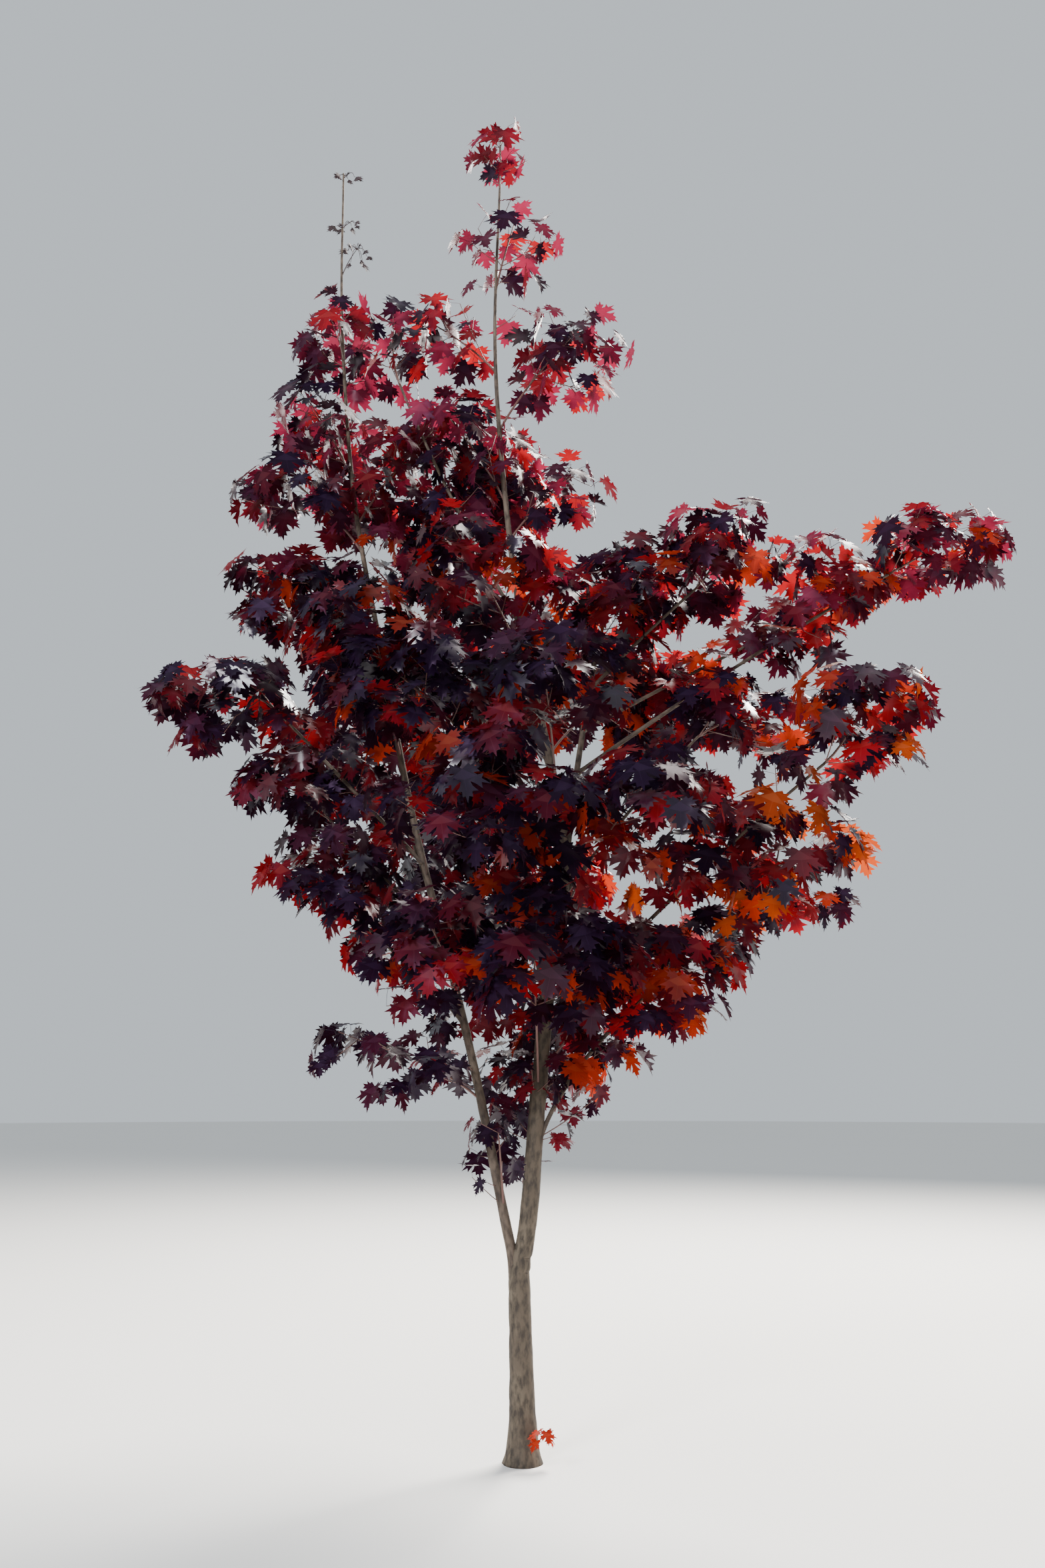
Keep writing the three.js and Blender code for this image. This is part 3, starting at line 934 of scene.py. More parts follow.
@dataclass
class Wood:
    """Lines of wood that are gathered to grow into one piece."""

    lines: list[tuple[Array, Array]] = field(default_factory=list)

    def add(self, points: Array, radii: Array) -> None:
        """Adds one line with its radius at each point."""
        self.lines.append((points, radii))

    def twig(self, course: Course, step: int, radii: Range) -> None:
        """Adds every so many points of a course, with its radii at both ends in millimetres."""
        points = course.points[::step]
        self.add(points, np.linspace(*radii, len(points)) * MM)

    def mesh(self, name: str) -> Mesh:
        """All the lines as one mesh of points and edges.

        Args:
            name: The mesh's name.

        Returns:
            The mesh.
        """
        edges: list[tuple[int, int]] = []
        first = 0
        for line, _ in self.lines:
            edges += [(first + step, first + step + 1) for step in range(len(line) - 1)]
            first += len(line)
        points, radii = zip(*self.lines)
        return point_mesh(name, np.vstack(points), edges, girth=np.concatenate(radii))


GRAIN_LENGTH = 0.42
FURROW_NOISE = 75.0
LUMP_NOISE = 9.0
LOWEST = (-9.0, -9.0, 0.0)


def bark_growth() -> Growth:
    """The group that turns lines of wood into limbs, round, furrowed and swollen here and there.

    Returns:
        The group, with named inputs for the sides, the spacing of rings and the relief.
    """
    growth = Growth(
        "grow_bark",
        {
            "Sides": ("NodeSocketInt", 8),
            "Spacing": ("NodeSocketFloat", 0.02),
            "Furrow": ("NodeSocketFloat", 0.0),
            "Swelling": ("NodeSocketFloat", 0.0),
            "Finish": ("NodeSocketMaterial", None),
        },
    )
    graph = growth.graph
    lines = graph.add("GeometryNodeMeshToCurve", sockets={"Mesh": growth.given("Geometry")})
    even = graph.add(
        "GeometryNodeResampleCurve",
        {"mode": "LENGTH"},
        {"Curve": lines, "Length": growth.given("Spacing")},
    )
    run = growth.captured(even, "run", "Length")
    ring = graph.add(
        "GeometryNodeCurvePrimitiveCircle", sockets={"Resolution": growth.given("Sides")}
    )
    around = growth.captured(ring, "around", "Factor")
    girth = growth.named("girth")
    tube = graph.add(
        "GeometryNodeCurveToMesh",
        sockets={"Curve": run, "Profile Curve": around, "Scale": girth, "Fill Caps": True},
    )
    angle, radius = graph.value(around, 1) * math.tau, graph.value(girth)
    grain = graph.add(
        "ShaderNodeCombineXYZ",
        sockets={
            "X": angle.cosine() * radius,
            "Y": angle.sine() * radius,
            "Z": graph.value(run, 1) * GRAIN_LENGTH,
        },
    )
    position = graph.add("GeometryNodeInputPosition")
    ridge = 1.0 - 2.0 * (2.0 * graph.noise(grain, FURROW_NOISE) - 1.0).size()
    lumps = graph.noise(position, LUMP_NOISE, 1.0) - 0.5
    lift = ridge * growth.number("Furrow") + lumps * radius * growth.number("Swelling")
    push = graph.add(
        "ShaderNodeVectorMath",
        {"operation": "SCALE"},
        {"Vector": graph.add("GeometryNodeInputNormal"), "Scale": lift},
    )
    raised = graph.add("GeometryNodeSetPosition", sockets={"Geometry": tube, "Offset": push})
    grounded = graph.add(
        "ShaderNodeVectorMath", {"operation": "MAXIMUM"}, {0: position, 1: LOWEST}
    )
    seated = graph.add(
        "GeometryNodeSetPosition", sockets={"Geometry": raised, "Position": grounded}
    )
    marked = graph.add(
        "GeometryNodeStoreNamedAttribute",
        {"data_type": "FLOAT_VECTOR"},
        {"Geometry": seated, "Name": "grain", "Value": grain},
    )
    smooth = graph.add("GeometryNodeSetShadeSmooth", sockets={"Geometry": marked})
    growth.end(smooth)
    return growth


@dataclass(frozen=True)
class BarkPart:
    """One piece of bark: the limbs that it covers, and how fine and how furrowed it is."""

    label: str
    limbs: tuple[str, ...]
    sides: int
    spacing: float
    furrow: float
    finish: BarkFinish


BARK_PARTS = (
    BarkPart("trunk", ("trunk", "main_stem"), 56, 0.007, 1.1 * MM, TRUNK_BARK),
    BarkPart("left_leader", ("left_leader",), 28, 0.010, 0.6 * MM, BOUGH_BARK),
    BarkPart("upper_leader", ("upper_leader", "right_stem"), 28, 0.010, 0.6 * MM, BOUGH_BARK),
    BarkPart("boughs", tuple(row.name for row in BOUGHS[1:]), 16, 0.014, 0.35 * MM, BOUGH_BARK),
)
PARENTS = {"left_leader": "trunk", "upper_leader": "main_stem"}
PARENTS |= {bough.name: bough.parent for bough in BOUGHS}


@dataclass
class Bark:
    """The bark that replaces the trunk, stems and boughs, with a swollen collar where limbs leave."""

    skeleton: Skeleton
    collar: float = 0.55
    collar_length: float = 1.7
    fork: Range = (0.56, 0.84)
    join_gap: float = 0.04
    smoothing: int = 4
    swelling: float = 0.22

    def trunk_line(self) -> tuple[Array, Array]:
        """The trunk and the main stem as one line, narrowing smoothly through the fork.

        Returns:
            The points, and the radius at each.
        """
        trunk, stem = (self.skeleton.limbs[name] for name in ("trunk", "main_stem"))
        above = stem.course.points[:, 2] > trunk.course.points[-1][2] + self.join_gap
        points = np.vstack((trunk.course.points, stem.course.points[above]))
        radii = np.concatenate((trunk.radii, stem.radii[above]))
        low, high = self.fork
        share = np.clip((points[:, 2] - low) / (high - low), 0.0, 1.0)
        ease = share * share * (3 - 2 * share)
        inside = (share > 0) & (share < 1)
        ends = np.interp((low, high), points[:, 2], radii)
        radii = np.where(inside, ends[0] + (ends[1] - ends[0]) * ease, radii)
        width = 2 * self.smoothing + 1
        for axis in range(2):
            padded = np.pad(points[:, axis], self.smoothing, mode="edge")
            smooth = np.convolve(padded, np.ones(width) / width, mode="valid")
            points[:, axis] = np.where(inside, smooth, points[:, axis])
        return points, radii

    def child_line(self, name: str) -> tuple[Array, Array]:
        """A limb that leaves another, with a collar at its foot.

        Args:
            name: The limb.

        Returns:
            The points, and the radius at each.
        """
        limb, mother = self.skeleton.limbs[name], self.skeleton.limbs[PARENTS[name]]
        share = mother.course.share_at_height(limb.course.points[0][2])
        width = float(np.interp(share, mother.course.shares, mother.radii))
        spread = self.collar_length * width
        swelling = self.collar * limb.radii[0] * np.exp(-((limb.course.runs() / spread) ** 2))
        return limb.course.points, limb.radii + swelling

    def build(self, growth: Growth) -> list[Object]:
        """Grows the bark pieces and hides the parts that they replace.

        Args:
            growth: The group that grows bark.

        Returns:
            The pieces.
        """
        pieces = []
        for part in BARK_PARTS:
            whole = "trunk" in part.limbs
            lines = [self.trunk_line()] if whole else [self.child_line(name) for name in part.limbs]
            wood = Wood()
            for points, radii in lines:
                wood.add(points, radii)
            values = {
                "Sides": part.sides,
                "Spacing": part.spacing,
                "Furrow": part.furrow,
                "Swelling": self.swelling,
                "Finish": part.finish.material(),
            }
            piece = growth.run("bark_" + part.label, wood.mesh(part.label), values, keep=("grain",))
            settle([piece], part.limbs)
            pieces.append(piece)
        return pieces


@dataclass(frozen=True)
class LeafHang:
    """How one leaf hangs, in shares of the blade's length and in degrees.

    The stalk has a length and a rise, and the blade droops, bends down along its length, cups down
    across its width and folds up along its middle rib.
    """

    stalk: float
    rise: float
    droop: float
    bend: float
    cup: float
    fold: float


@dataclass(frozen=True)
class HangRanges:
    """The least and most of what chance deals out to the hangs of the leaf shapes."""

    stalk: Range = (0.42, 0.85)
    rise: Range = (5.0, 40.0)
    droop: Range = (42.0, 88.0)
    bend: Range = (0.02, 0.24)
    cup: Range = (-0.08, 0.20)
    fold: Range = (-0.08, 0.28)
    count: int = 12
    seed: int = 7

    def draw(self) -> list[LeafHang]:
        """Draws the hangs, from the least drooping to the most.

        Returns:
            One for each shape.
        """
        stream = Stream(self.seed)
        least, most = self.droop
        return [
            LeafHang(
                stalk=stream.between(*self.stalk),
                rise=stream.between(*self.rise),
                droop=least + (most - least) * (number + stream.share()) / self.count,
                bend=stream.between(*self.bend),
                cup=stream.between(*self.cup),
                fold=stream.between(*self.fold),
            )
            for number in range(self.count)
        ]


@dataclass(frozen=True)
class LobedLeaf:
    """A five-lobed leaf with long teeth, at a blade length of 1 from the stalk's end to the tip.

    The outline and the ribs are those of the left half. Probes are points that test whether a leaf
    has room. The stalk's end says how far out it is, how much of its rise it keeps and how far it
    sags. The blade puffs up beside its ribs, and ripples by chance except round the stalk.
    """

    half_outline: tuple[Range, ...] = (
        (-0.05, 0.07), (-0.15, 0.22), (-0.07, 0.28), (-0.15, 0.46), (-0.02, 0.40), (-0.03, 0.66),
        (0.08, 0.45), (0.19, 0.51), (0.17, 0.31), (0.27, 0.42), (0.27, 0.61), (0.39, 0.53),
        (0.60, 0.79), (0.53, 0.50), (0.70, 0.51), (0.53, 0.32), (0.43, 0.16), (0.58, 0.21),
        (0.75, 0.37), (0.73, 0.17), (0.89, 0.18), (0.85, 0.06),
    )
    ribs: tuple[tuple[Range, ...], ...] = (
        ((0.0, 0.0), (0.34, 0.0), (0.68, 0.0), (1.04, 0.0)),
        ((0.0, 0.0), (0.29, 0.38), (0.60, 0.79)),
        ((0.0, 0.0), (-0.02, 0.34), (-0.03, 0.66)),
    )
    probes: tuple[Range, ...] = (
        (0.5, 0.0), (1.0, 0.0), (0.57, 0.7), (0.57, -0.7), (0.0, 0.55), (0.0, -0.55),
    )
    stalk_radius: float = 0.009
    stalk_points: int = 4
    stalk_knee: float = 0.55
    stalk_end: Point = (0.93, 0.75, 0.05)
    puff: float = 0.22
    puff_width: float = 0.12
    ripple: float = 0.022
    ripple_free: float = 0.05
    narrowing: float = 0.25

    ON_RIB = 1e-4

    def lines(self) -> list[list[Range]]:
        """The ribs on both sides, as lines of points."""
        right = [[(x, -y) for x, y in rib] for rib in self.ribs[1:]]
        return [list(rib) for rib in self.ribs] + right

    def flat(self) -> tuple[Array, list[list[int]], Array]:
        """The blade spread flat.

        Returns:
            Its points, its triangles, and for each point 1 on a rib and 0 on the edge.
        """
        left = list(self.half_outline)
        right = [(x, -y) for x, y in reversed(left)]
        outline = [(0.0, 0.0), *left, self.ribs[0][-1], *right]
        points = list(outline)
        edges = [(i, (i + 1) % len(outline)) for i in range(len(outline))]
        for rib in self.lines():
            places = []
            for point in rib:
                if point not in points:
                    points.append(point)
                places.append(points.index(point))
            edges += list(zip(places, places[1:]))
        whole = [list(range(len(outline)))]
        vertices, _, faces, *_ = delaunay_2d_cdt(points, edges, whole, 1, TINY)
        blade = np.array([tuple(vertex) for vertex in vertices])
        on_rib = self.rib_distance(blade) < self.ON_RIB
        return blade, [list(face) for face in faces], on_rib.astype(float)

    def rib_distance(self, points: Array) -> Array:
        """Measures how near points of the flat blade are to a rib.

        Args:
            points: The points.

        Returns:
            The distance from each to the nearest rib.
        """
        best = np.full(len(points), np.inf)
        for rib in self.lines():
            for start, end in zip(np.array(rib[:-1]), np.array(rib[1:])):
                run = end - start
                share = np.clip((points - start) @ run / (run @ run), 0.0, 1.0)
                gap = np.linalg.norm(points - start - share[:, None] * run, axis=1)
                best = np.minimum(best, gap)
        return best

    def place(self, flat: Array, hang: LeafHang, stream: Stream) -> Array:
        """Bends a flat blade to the way that it hangs.

        Args:
            flat: Points along and across the blade.
            hang: How the leaf hangs.
            stream: Numbers for its ripple.

        Returns:
            The points, with the stalk's root at the origin, X outwards and Z up.
        """
        along, across = flat[:, 0], flat[:, 1]
        ripple = np.array([stream.between(-1.0, 1.0) for _ in flat]) * self.ripple
        lift = (
            self.puff * np.minimum(self.rib_distance(flat), self.puff_width)
            + hang.fold * np.abs(across)
            - hang.bend * along**2
            - hang.cup * across**2
            + ripple * (np.abs(along) + np.abs(across) > self.ripple_free)
        )
        droop = math.radians(hang.droop)
        down = np.array((math.cos(droop), 0.0, -math.sin(droop)))
        face = np.array((math.sin(droop), 0.0, math.cos(droop)))
        side = (1.0 - self.narrowing * hang.fold) * across[:, None] * LEFT
        return self.stalk_line(hang)[-1] + along[:, None] * down + side + lift[:, None] * face

    def stalk_line(self, hang: LeafHang) -> Array:
        """Works the stalk out, which arches out from its root to the blade.

        Args:
            hang: How the leaf hangs.

        Returns:
            Its points.
        """
        out, kept, sag = self.stalk_end
        steep = math.sin(math.radians(hang.rise))
        knee = np.array((math.cos(math.radians(hang.rise)), 0.0, steep)) * hang.stalk * self.stalk_knee
        end = np.array((hang.stalk * out, 0.0, hang.stalk * (steep * kept - sag)))
        t = np.linspace(0.0, 1.0, self.stalk_points)[:, None]
        return 2 * t * (1 - t) * knee + t**2 * end

    def build(self, name: str, hang: LeafHang, seed: int) -> tuple[Object, Array]:
        """Makes one shape of leaf.

        Args:
            name: The shape's name.
            hang: How it hangs.
            seed: The seed of its ripple.

        Returns:
            The leaf, and the points that test whether it has room.
        """
        flat, faces, ribs = self.flat()
        blade = self.place(flat, hang, Stream(seed))
        line = self.stalk_line(hang)
        last = len(line) - 1
        ring = []
        for step, point in enumerate(line):
            near = line[min(step + 1, last)] - line[max(step - 1, 0)]
            across = unit(np.cross(unit(near), LEFT))
            for angle in (0.0, math.tau / 3, 2 * math.tau / 3):
                side = np.array((0.0, math.cos(angle), 0.0)) + across * math.sin(angle)
                ring.append(point + side * self.stalk_radius)
        stalk = [
            [len(blade) + 3 * step + corner for corner in (a, b, 3 + b, 3 + a)]
            for step in range(last)
            for a, b in ((0, 1), (1, 2), (2, 0))
        ]
        marks = np.concatenate((ribs, np.ones(len(ring))))
        mesh = point_mesh(name, np.vstack((blade, ring)), faces=faces + stalk, vein=marks)
        mesh.shade_smooth()
        probes = self.place(np.array(self.probes), hang, Stream(seed))
        return bpy.data.objects.new(name, mesh), probes


def leaf_shapes(
    label: str, leaf: LobedLeaf, hangs: Sequence[LeafHang], seed: int
) -> tuple[Collection, list[Array]]:
    """Makes the shapes that hanging leaves are picked from.

    Args:
        label: The start of their names.
        leaf: The leaf.
        hangs: How each shape hangs.
        seed: The seed of the first one's ripple.

    Returns:
        The shapes, and the points of each that test whether it has room.
    """
    shapes = bpy.data.collections.new(label + "_shapes")
    probes = []
    for number, hang in enumerate(hangs):
        made, points = leaf.build(f"{label}_{number:02d}", hang, seed + number)
        shapes.objects.link(made)
        probes.append(points)
    return shapes, probes


@dataclass
class Hanging:
    """Leaves of one tint that are gathered to hang as one piece."""

    leaves: list[tuple[Array, Point, float, int, float]] = field(default_factory=list)

    def add(self, place: Array, turn: Point, size: float, kind: int, wax: float) -> None:
        """Adds one leaf: its stalk's foot, its turn, its blade's length, its shape and its gloss."""
        self.leaves.append((place, turn, size, kind, wax))

    def mesh(self, name: str) -> Mesh:
        """The leaves as a mesh of points."""
        places, turns, sizes, kinds, waxes = zip(*self.leaves)
        return point_mesh(name, places, turn=turns, size=sizes, kind=kinds, wax=waxes)


def leaf_growth() -> Growth:
    """The group that hangs a leaf on each point.

    Returns:
        The group, with named inputs for the leaf shapes and the finish.
    """
    growth = Growth(
        "hang_leaves",
        {"Shapes": ("NodeSocketCollection", None), "Finish": ("NodeSocketMaterial", None)},
    )
    graph = growth.graph
    shapes = graph.add(
        "GeometryNodeCollectionInfo",
        sockets={
            "Collection": growth.given("Shapes"),
            "Separate Children": True,
            "Reset Children": True,
        },
    )
    turn = graph.add(
        "FunctionNodeEulerToRotation", sockets={"Euler": growth.named("turn", "FLOAT_VECTOR")}
    )
    hung = graph.add(
        "GeometryNodeInstanceOnPoints",
        sockets={
            "Points": growth.given("Geometry"),
            "Instance": shapes,
            "Pick Instance": True,
            "Instance Index": growth.named("kind", "INT"),
            "Rotation": turn,
            "Scale": growth.named("size"),
        },
    )
    growth.end(hung)
    return growth


@dataclass
class Nursery:
    """The two groups that grow bark and hang leaves, and the plain pieces that come from them."""

    bark: Growth = field(default_factory=bark_growth)
    hanging: Growth = field(default_factory=leaf_growth)
    twig_sides: int = 5
    leaf_attributes: tuple[str, ...] = ("vein", "wax")

    def twigs(self, name: str, wood: Wood, finish: Material, spacing: float) -> Object:
        """Grows wood that is too thin for relief.

        Args:
            name: The piece's name.
            wood: The lines of wood.
            finish: Their material.
            spacing: How far apart the rings lie.

        Returns:
            The piece.
        """
        values = {"Sides": self.twig_sides, "Spacing": spacing, "Furrow": 0.0, "Swelling": 0.0}
        return self.bark.run(name, wood.mesh(name), values | {"Finish": finish})

    def leaves(self, name: str, leaves: Hanging, shapes: Collection, finish: Material) -> Object:
        """Hangs leaves of the shapes in a collection, all with one material."""
        values = {"Shapes": shapes, "Finish": finish}
        return self.hanging.run(name, leaves.mesh(name), values, self.leaf_attributes)


@dataclass
class Shoot:
    """A shoot that bears leaves, which leaves a point along a direction and sags a little.

    Attributes:
        start: Its foot.
        heading: Its direction.
        length: Its length.
        bare: The share of it below its first pair of leaves.
        away: A point that its leaves turn away from.
        reach: How far out in a mass's space its leaves may lie, 1 being the surface.
        sides: Places along it where side shoots may grow.
        sag: How far it sags, as a share of its length.
    """

    start: Array
    heading: Array
    length: float
    bare: float
    away: Array
    reach: float
    sides: tuple[float, ...] = ()
    sag: float = 0.07

    def __post_init__(self) -> None:
        """Works its centre line out."""
        middle = self.start + self.heading * self.length / 2 - UP * self.length * self.sag
        self.course = Course.bent(self.start, middle, self.start + self.heading * self.length)


@dataclass
class Crown:
    """The foliage: stems of masses, twigs, side shoots and spurs, and leaves in opposite pairs.

    Lengths are in metres, girths in millimetres and angles in degrees. Most pairs of numbers are
    the least and the most of what chance deals out. A pair of rows says what goes with a height.
    Angles of shoots say how far chance turns a pair, and the least and most away from the wood.
    """

    skeleton: Skeleton
    low: Array
    high: Array
    hangs: HangRanges = HangRanges()
    viewer: Point = (0.0, -5.15, 1.36)
    open_stretches: tuple[tuple[str, float, float], ...] = (
        ("left_leader", 0.7, 2.7), ("left_leader", 3.3, 5.8), ("main_stem", 0.7, 2.05),
        ("main_stem", 2.25, 2.6), ("upper_leader", 3.6, 5.45),
    )
    open_width: float = 0.055
    stray: float = 0.1
    blade: float = 0.117
    blade_sizes: Range = (0.74, 1.16)
    low_blades: tuple[Range, Range] = ((1.0, 1.8), (0.72, 1.0))
    yaw: float = 25.0
    rolls: Range = (-22.0, 22.0)
    pitches: Range = (-16.0, 14.0)
    lying: float = 0.10
    lying_pitch: float = 48.0
    tries: int = 4
    yaw_by_try: float = 30.0
    shrink_by_try: float = 0.06
    waxed: float = 0.28
    wax: Range = (0.55, 1.0)
    wax_by_height: tuple[tuple[float, ...], tuple[float, ...]] = (
        (1.2, 2.2, 3.2, 4.4), (0.25, 1.0, 1.0, 0.12),
    )
    # The next numbers deal the tints by painted light: its mean, its spread by chance and the painted
    # sunlight gained to the right at each height; then the painted shade low down on the left, and where
    # the high tints take over.
    light: float = 0.36
    light_spread: float = 0.48
    light_by_height: tuple[Range, Range] = ((2.4, 3.2), (0.15, 0.05))
    shade: float = 0.9
    shade_below: float = 1.8
    shade_side: float = 0.35
    high_from: float = 3.3
    high_over: float = 0.9
    pair_turn: float = 90.0
    twig_gap: float = 0.11
    own_gaps: tuple[tuple[str, float], ...] = (
        ("foliage_left_bottom", 0.16), ("foliage_low_tuft", 0.23), ("foliage_top", 0.08),
    )
    first_twig: float = 0.02
    twig_reach: Range = (0.55, 1.06)
    twig_bare: float = 0.35
    twig_angles: Point = (20.0, 42.0, 66.0)
    lift: float = 0.10
    longest: float = 0.55
    shortest: float = 0.04
    shortest_branched: float = 0.12
    side_places: tuple[float, ...] = (0.45, 0.78)
    side_chance: float = 0.72
    side_lengths: Range = (0.5, 1.0)
    side_angles: Point = (25.0, 34.0, 54.0)
    side_bare: float = 0.6
    spur_gap: float = 0.12
    spur: Range = (0.05, 0.17)
    spur_start: float = 0.3
    spur_chance: float = 0.8
    spur_loss: float = 0.12
    spur_full: float = 2.3
    spur_reach: Range = (1.15, 1.38)
    spur_angles: Point = (30.0, 50.0, 80.0)
    spur_bare: float = 0.75
    bare_below: float = 0.95
    leaf_reach: Range = (0.82, 1.22)
    leaf_spacing: float = 0.058
    leaf_turn: float = 25.0
    leaf_along: float = 0.5
    leaf_outward: float = 0.6
    leaf_apart: float = 0.060
    sparser: float = 0.023
    full: Range = (1.5, 3.4)
    tuft: Range = (5.6, 1.2)
    cell: float = 0.12
    limb_gap: float = 0.012
    stem_step: int = 15
    stem_girth: Range = (6.0, 2.8)
    twig_step: int = 48
    twig_girth: Range = (2.8, 1.6)
    thin_twig: float = 0.55
    ring_gap: float = 0.05
    stream: Stream = field(default_factory=lambda: Stream(FIRST_SEED))
    wood: Wood = field(default_factory=Wood)
    leaves: dict[Tint, Hanging] = field(default_factory=lambda: {tint: Hanging() for tint in Tint})
    taken: dict[tuple[int, ...], list[Array]] = field(default_factory=dict)

    def __post_init__(self) -> None:
        """Makes the leaf shapes and the maps of the limbs and the spaces."""
        self.shapes, self.probes = leaf_shapes("leaf", LobedLeaf(), self.hangs.draw(), 1)
        limbs = self.skeleton.limbs.values()
        points = np.vstack([limb.course.points for limb in limbs])
        self.limb_radii = np.concatenate([limb.radii for limb in limbs])
        self.limb_points = KDTree(len(points))
        for number, point in enumerate(points):
            self.limb_points.insert(point, number)
        self.limb_points.balance()
        spaces = [mass.space() for mass in MASSES]
        self.centres, self.halves = (np.array(part) for part in zip(*spaces))

    def clear_of_limbs(self, points: Array) -> bool:
        """Whether every point is clear of the trunk, stems and boughs."""
        found = (self.limb_points.find(point) for point in points)
        return all(gap >= self.limb_radii[number] + self.limb_gap for _, number, gap in found)

    def within(self, points: Array, reach: float) -> bool:
        """Tests whether every point lies in a mass's space and in the solids' box.

        Args:
            points: The points.
            reach: How far out in a mass's space they may lie, 1 being its surface.

        Returns:
            Whether they all do.
        """
        levels = np.linalg.norm((points[:, None] - self.centres) / self.halves, axis=2)
        boxed = bool((points > self.low).all() and (points < self.high).all())
        return boxed and float(levels.min(axis=1).max()) <= reach

    def hides_stem(self, middle: Array) -> bool:
        """Tests whether a leaf lies before a stretch of stem that is in view from the front.

        Args:
            middle: The leaf's middle.

        Returns:
            Whether it does.
        """
        run = middle - self.viewer
        seen = self.viewer - run * self.viewer[1] / run[1]
        for name, low, high in self.open_stretches:
            line = self.skeleton.limbs[name].course.points
            beside, behind = (float(np.interp(seen[2], line[:, 2], line[:, k])) for k in (0, 1))
            across = abs(seen[0] - beside) < self.open_width
            if low < seen[2] < high and across and middle[1] < behind:
                return True
        return False

    def has_space(self, middle: Array) -> bool:
        """Tests whether no other leaf is too near, and if so, takes the place.

        Args:
            middle: The leaf's middle.

        Returns:
            Whether it has space.
        """
        past = max(middle[2] - self.full[1], self.full[0] - middle[2], 0.0)
        past = past if middle[2] < self.tuft[0] else self.tuft[1]
        apart = self.leaf_apart + self.sparser * past
        cell = tuple(int(math.floor(part / self.cell)) for part in middle)
        for place in itertools.product(*((part - 1, part, part + 1) for part in cell)):
            for other in self.taken.get(place, ()):
                if float(np.linalg.norm(other - middle)) < apart:
                    return False
        self.taken.setdefault(cell, []).append(middle)
        return True

    @staticmethod
    def room_along(centre: Array, half: Array, point: Array, way: Array) -> float:
        """Measures the distance from a point in a space to the space's surface.

        Args:
            centre: The space's centre.
            half: Its half sizes.
            point: The point.
            way: The direction, of length 1.

        Returns:
            The distance.
        """
        start, step = (point - centre) / half, way / half
        a, b, c = float(step @ step), float(start @ step), float(start @ start) - 1.0
        return (-b + math.sqrt(max(b * b - a * c, 0.0))) / a

    def spray_tint(self, place: Array) -> Tint:
        """Deals a colour to a spray by painted light: redder towards the sun and orange only low down as
        painted sunlight shining through, dark by the foot as painted shade.

        Args:
            place: Where the spray grows.

        Returns:
            The tint.
        """
        # High up the tints change over to the high table; painted shade darkens sprays low down on the
        # left, and painted sunlight reddens them towards the right, most of all low down.
        high = (place[2] - self.high_from) / self.high_over > self.stream.share()
        shade = self.shade * max(self.shade_below - place[2], 0.0) * (self.shade_side - place[0])
        sunny = float(np.interp(place[2], *self.light_by_height)) * place[0]
        chance = self.stream.between(-self.light_spread, self.light_spread)
        light = self.light + sunny - shade + chance
        limits = HIGH_TINTS if high else LOW_TINTS
        return next((tint for limit, tint in limits if light < limit), limits[-1][1])

    def pair_ways(self, along: Array, pair: int, chance: float) -> list[Array]:
        """Deals the directions across the wood of an opposite pair, each pair a quarter turn on.

        Args:
            along: The direction of the wood that bears them.
            pair: The pair's number.
            chance: How far chance may turn the pair, in degrees.

        Returns:
            Two directions.
        """
        turn = pair * self.pair_turn + self.stream.between(-chance, chance)
        across = unit(np.cross(along, UP) + TINY)
        return [turned(across, along, math.radians(turn + side)) for side in (0.0, 180.0)]

    def pair_headings(self, along: Array, pair: int, angles: Point) -> list[Array]:
        """Deals the directions of an opposite pair of shoots.

        Args:
            along: The direction of the wood that bears them.
            pair: The pair's number.
            angles: How far chance may turn it, and the least and most angle away from the wood.

        Returns:
            Two directions.
        """
        chance, *spread = angles
        headings = []
        for way in self.pair_ways(along, pair, chance):
            angle = math.radians(self.stream.between(*spread))
            headings.append(unit(along * math.cos(angle) + way * math.sin(angle) + UP * self.lift))
        return headings

    def grow_mass(self, mass: Mass) -> None:
        """Grows one mass inside its space.

        Args:
            mass: The mass.
        """
        centre, half = mass.space()
        stem, entry = self.skeleton.mass_stem(mass)
        self.wood.twig(stem, self.stem_step, self.stem_girth)
        inside = float(stem.runs()[-1]) * (1.0 - entry)
        gap = dict(self.own_gaps).get(mass.name, self.twig_gap)
        pairs = max(2, round(inside / gap))
        for pair in range(pairs + 1):
            place = self.first_twig + (1.0 - self.first_twig) * pair / pairs
            share = entry + (1.0 - entry) * place
            start, along = stem.at(share), stem.heading(share)
            headings = self.pair_headings(along, pair, self.twig_angles)
            if pair == pairs:
                headings.append(unit(along + UP * self.lift))
            for heading in headings:
                room = self.room_along(centre, half, start, heading)
                room *= self.stream.between(*self.twig_reach)
                length = min(room - self.blade / 2, self.longest)
                reach = self.stream.between(*self.leaf_reach)
                bare = gap > self.twig_gap or length < self.shortest_branched
                sides = () if bare else self.side_places
                if length > self.shortest:
                    twig = Shoot(start, heading, length, self.twig_bare, centre, reach, sides)
                    self.grow_shoot(twig)

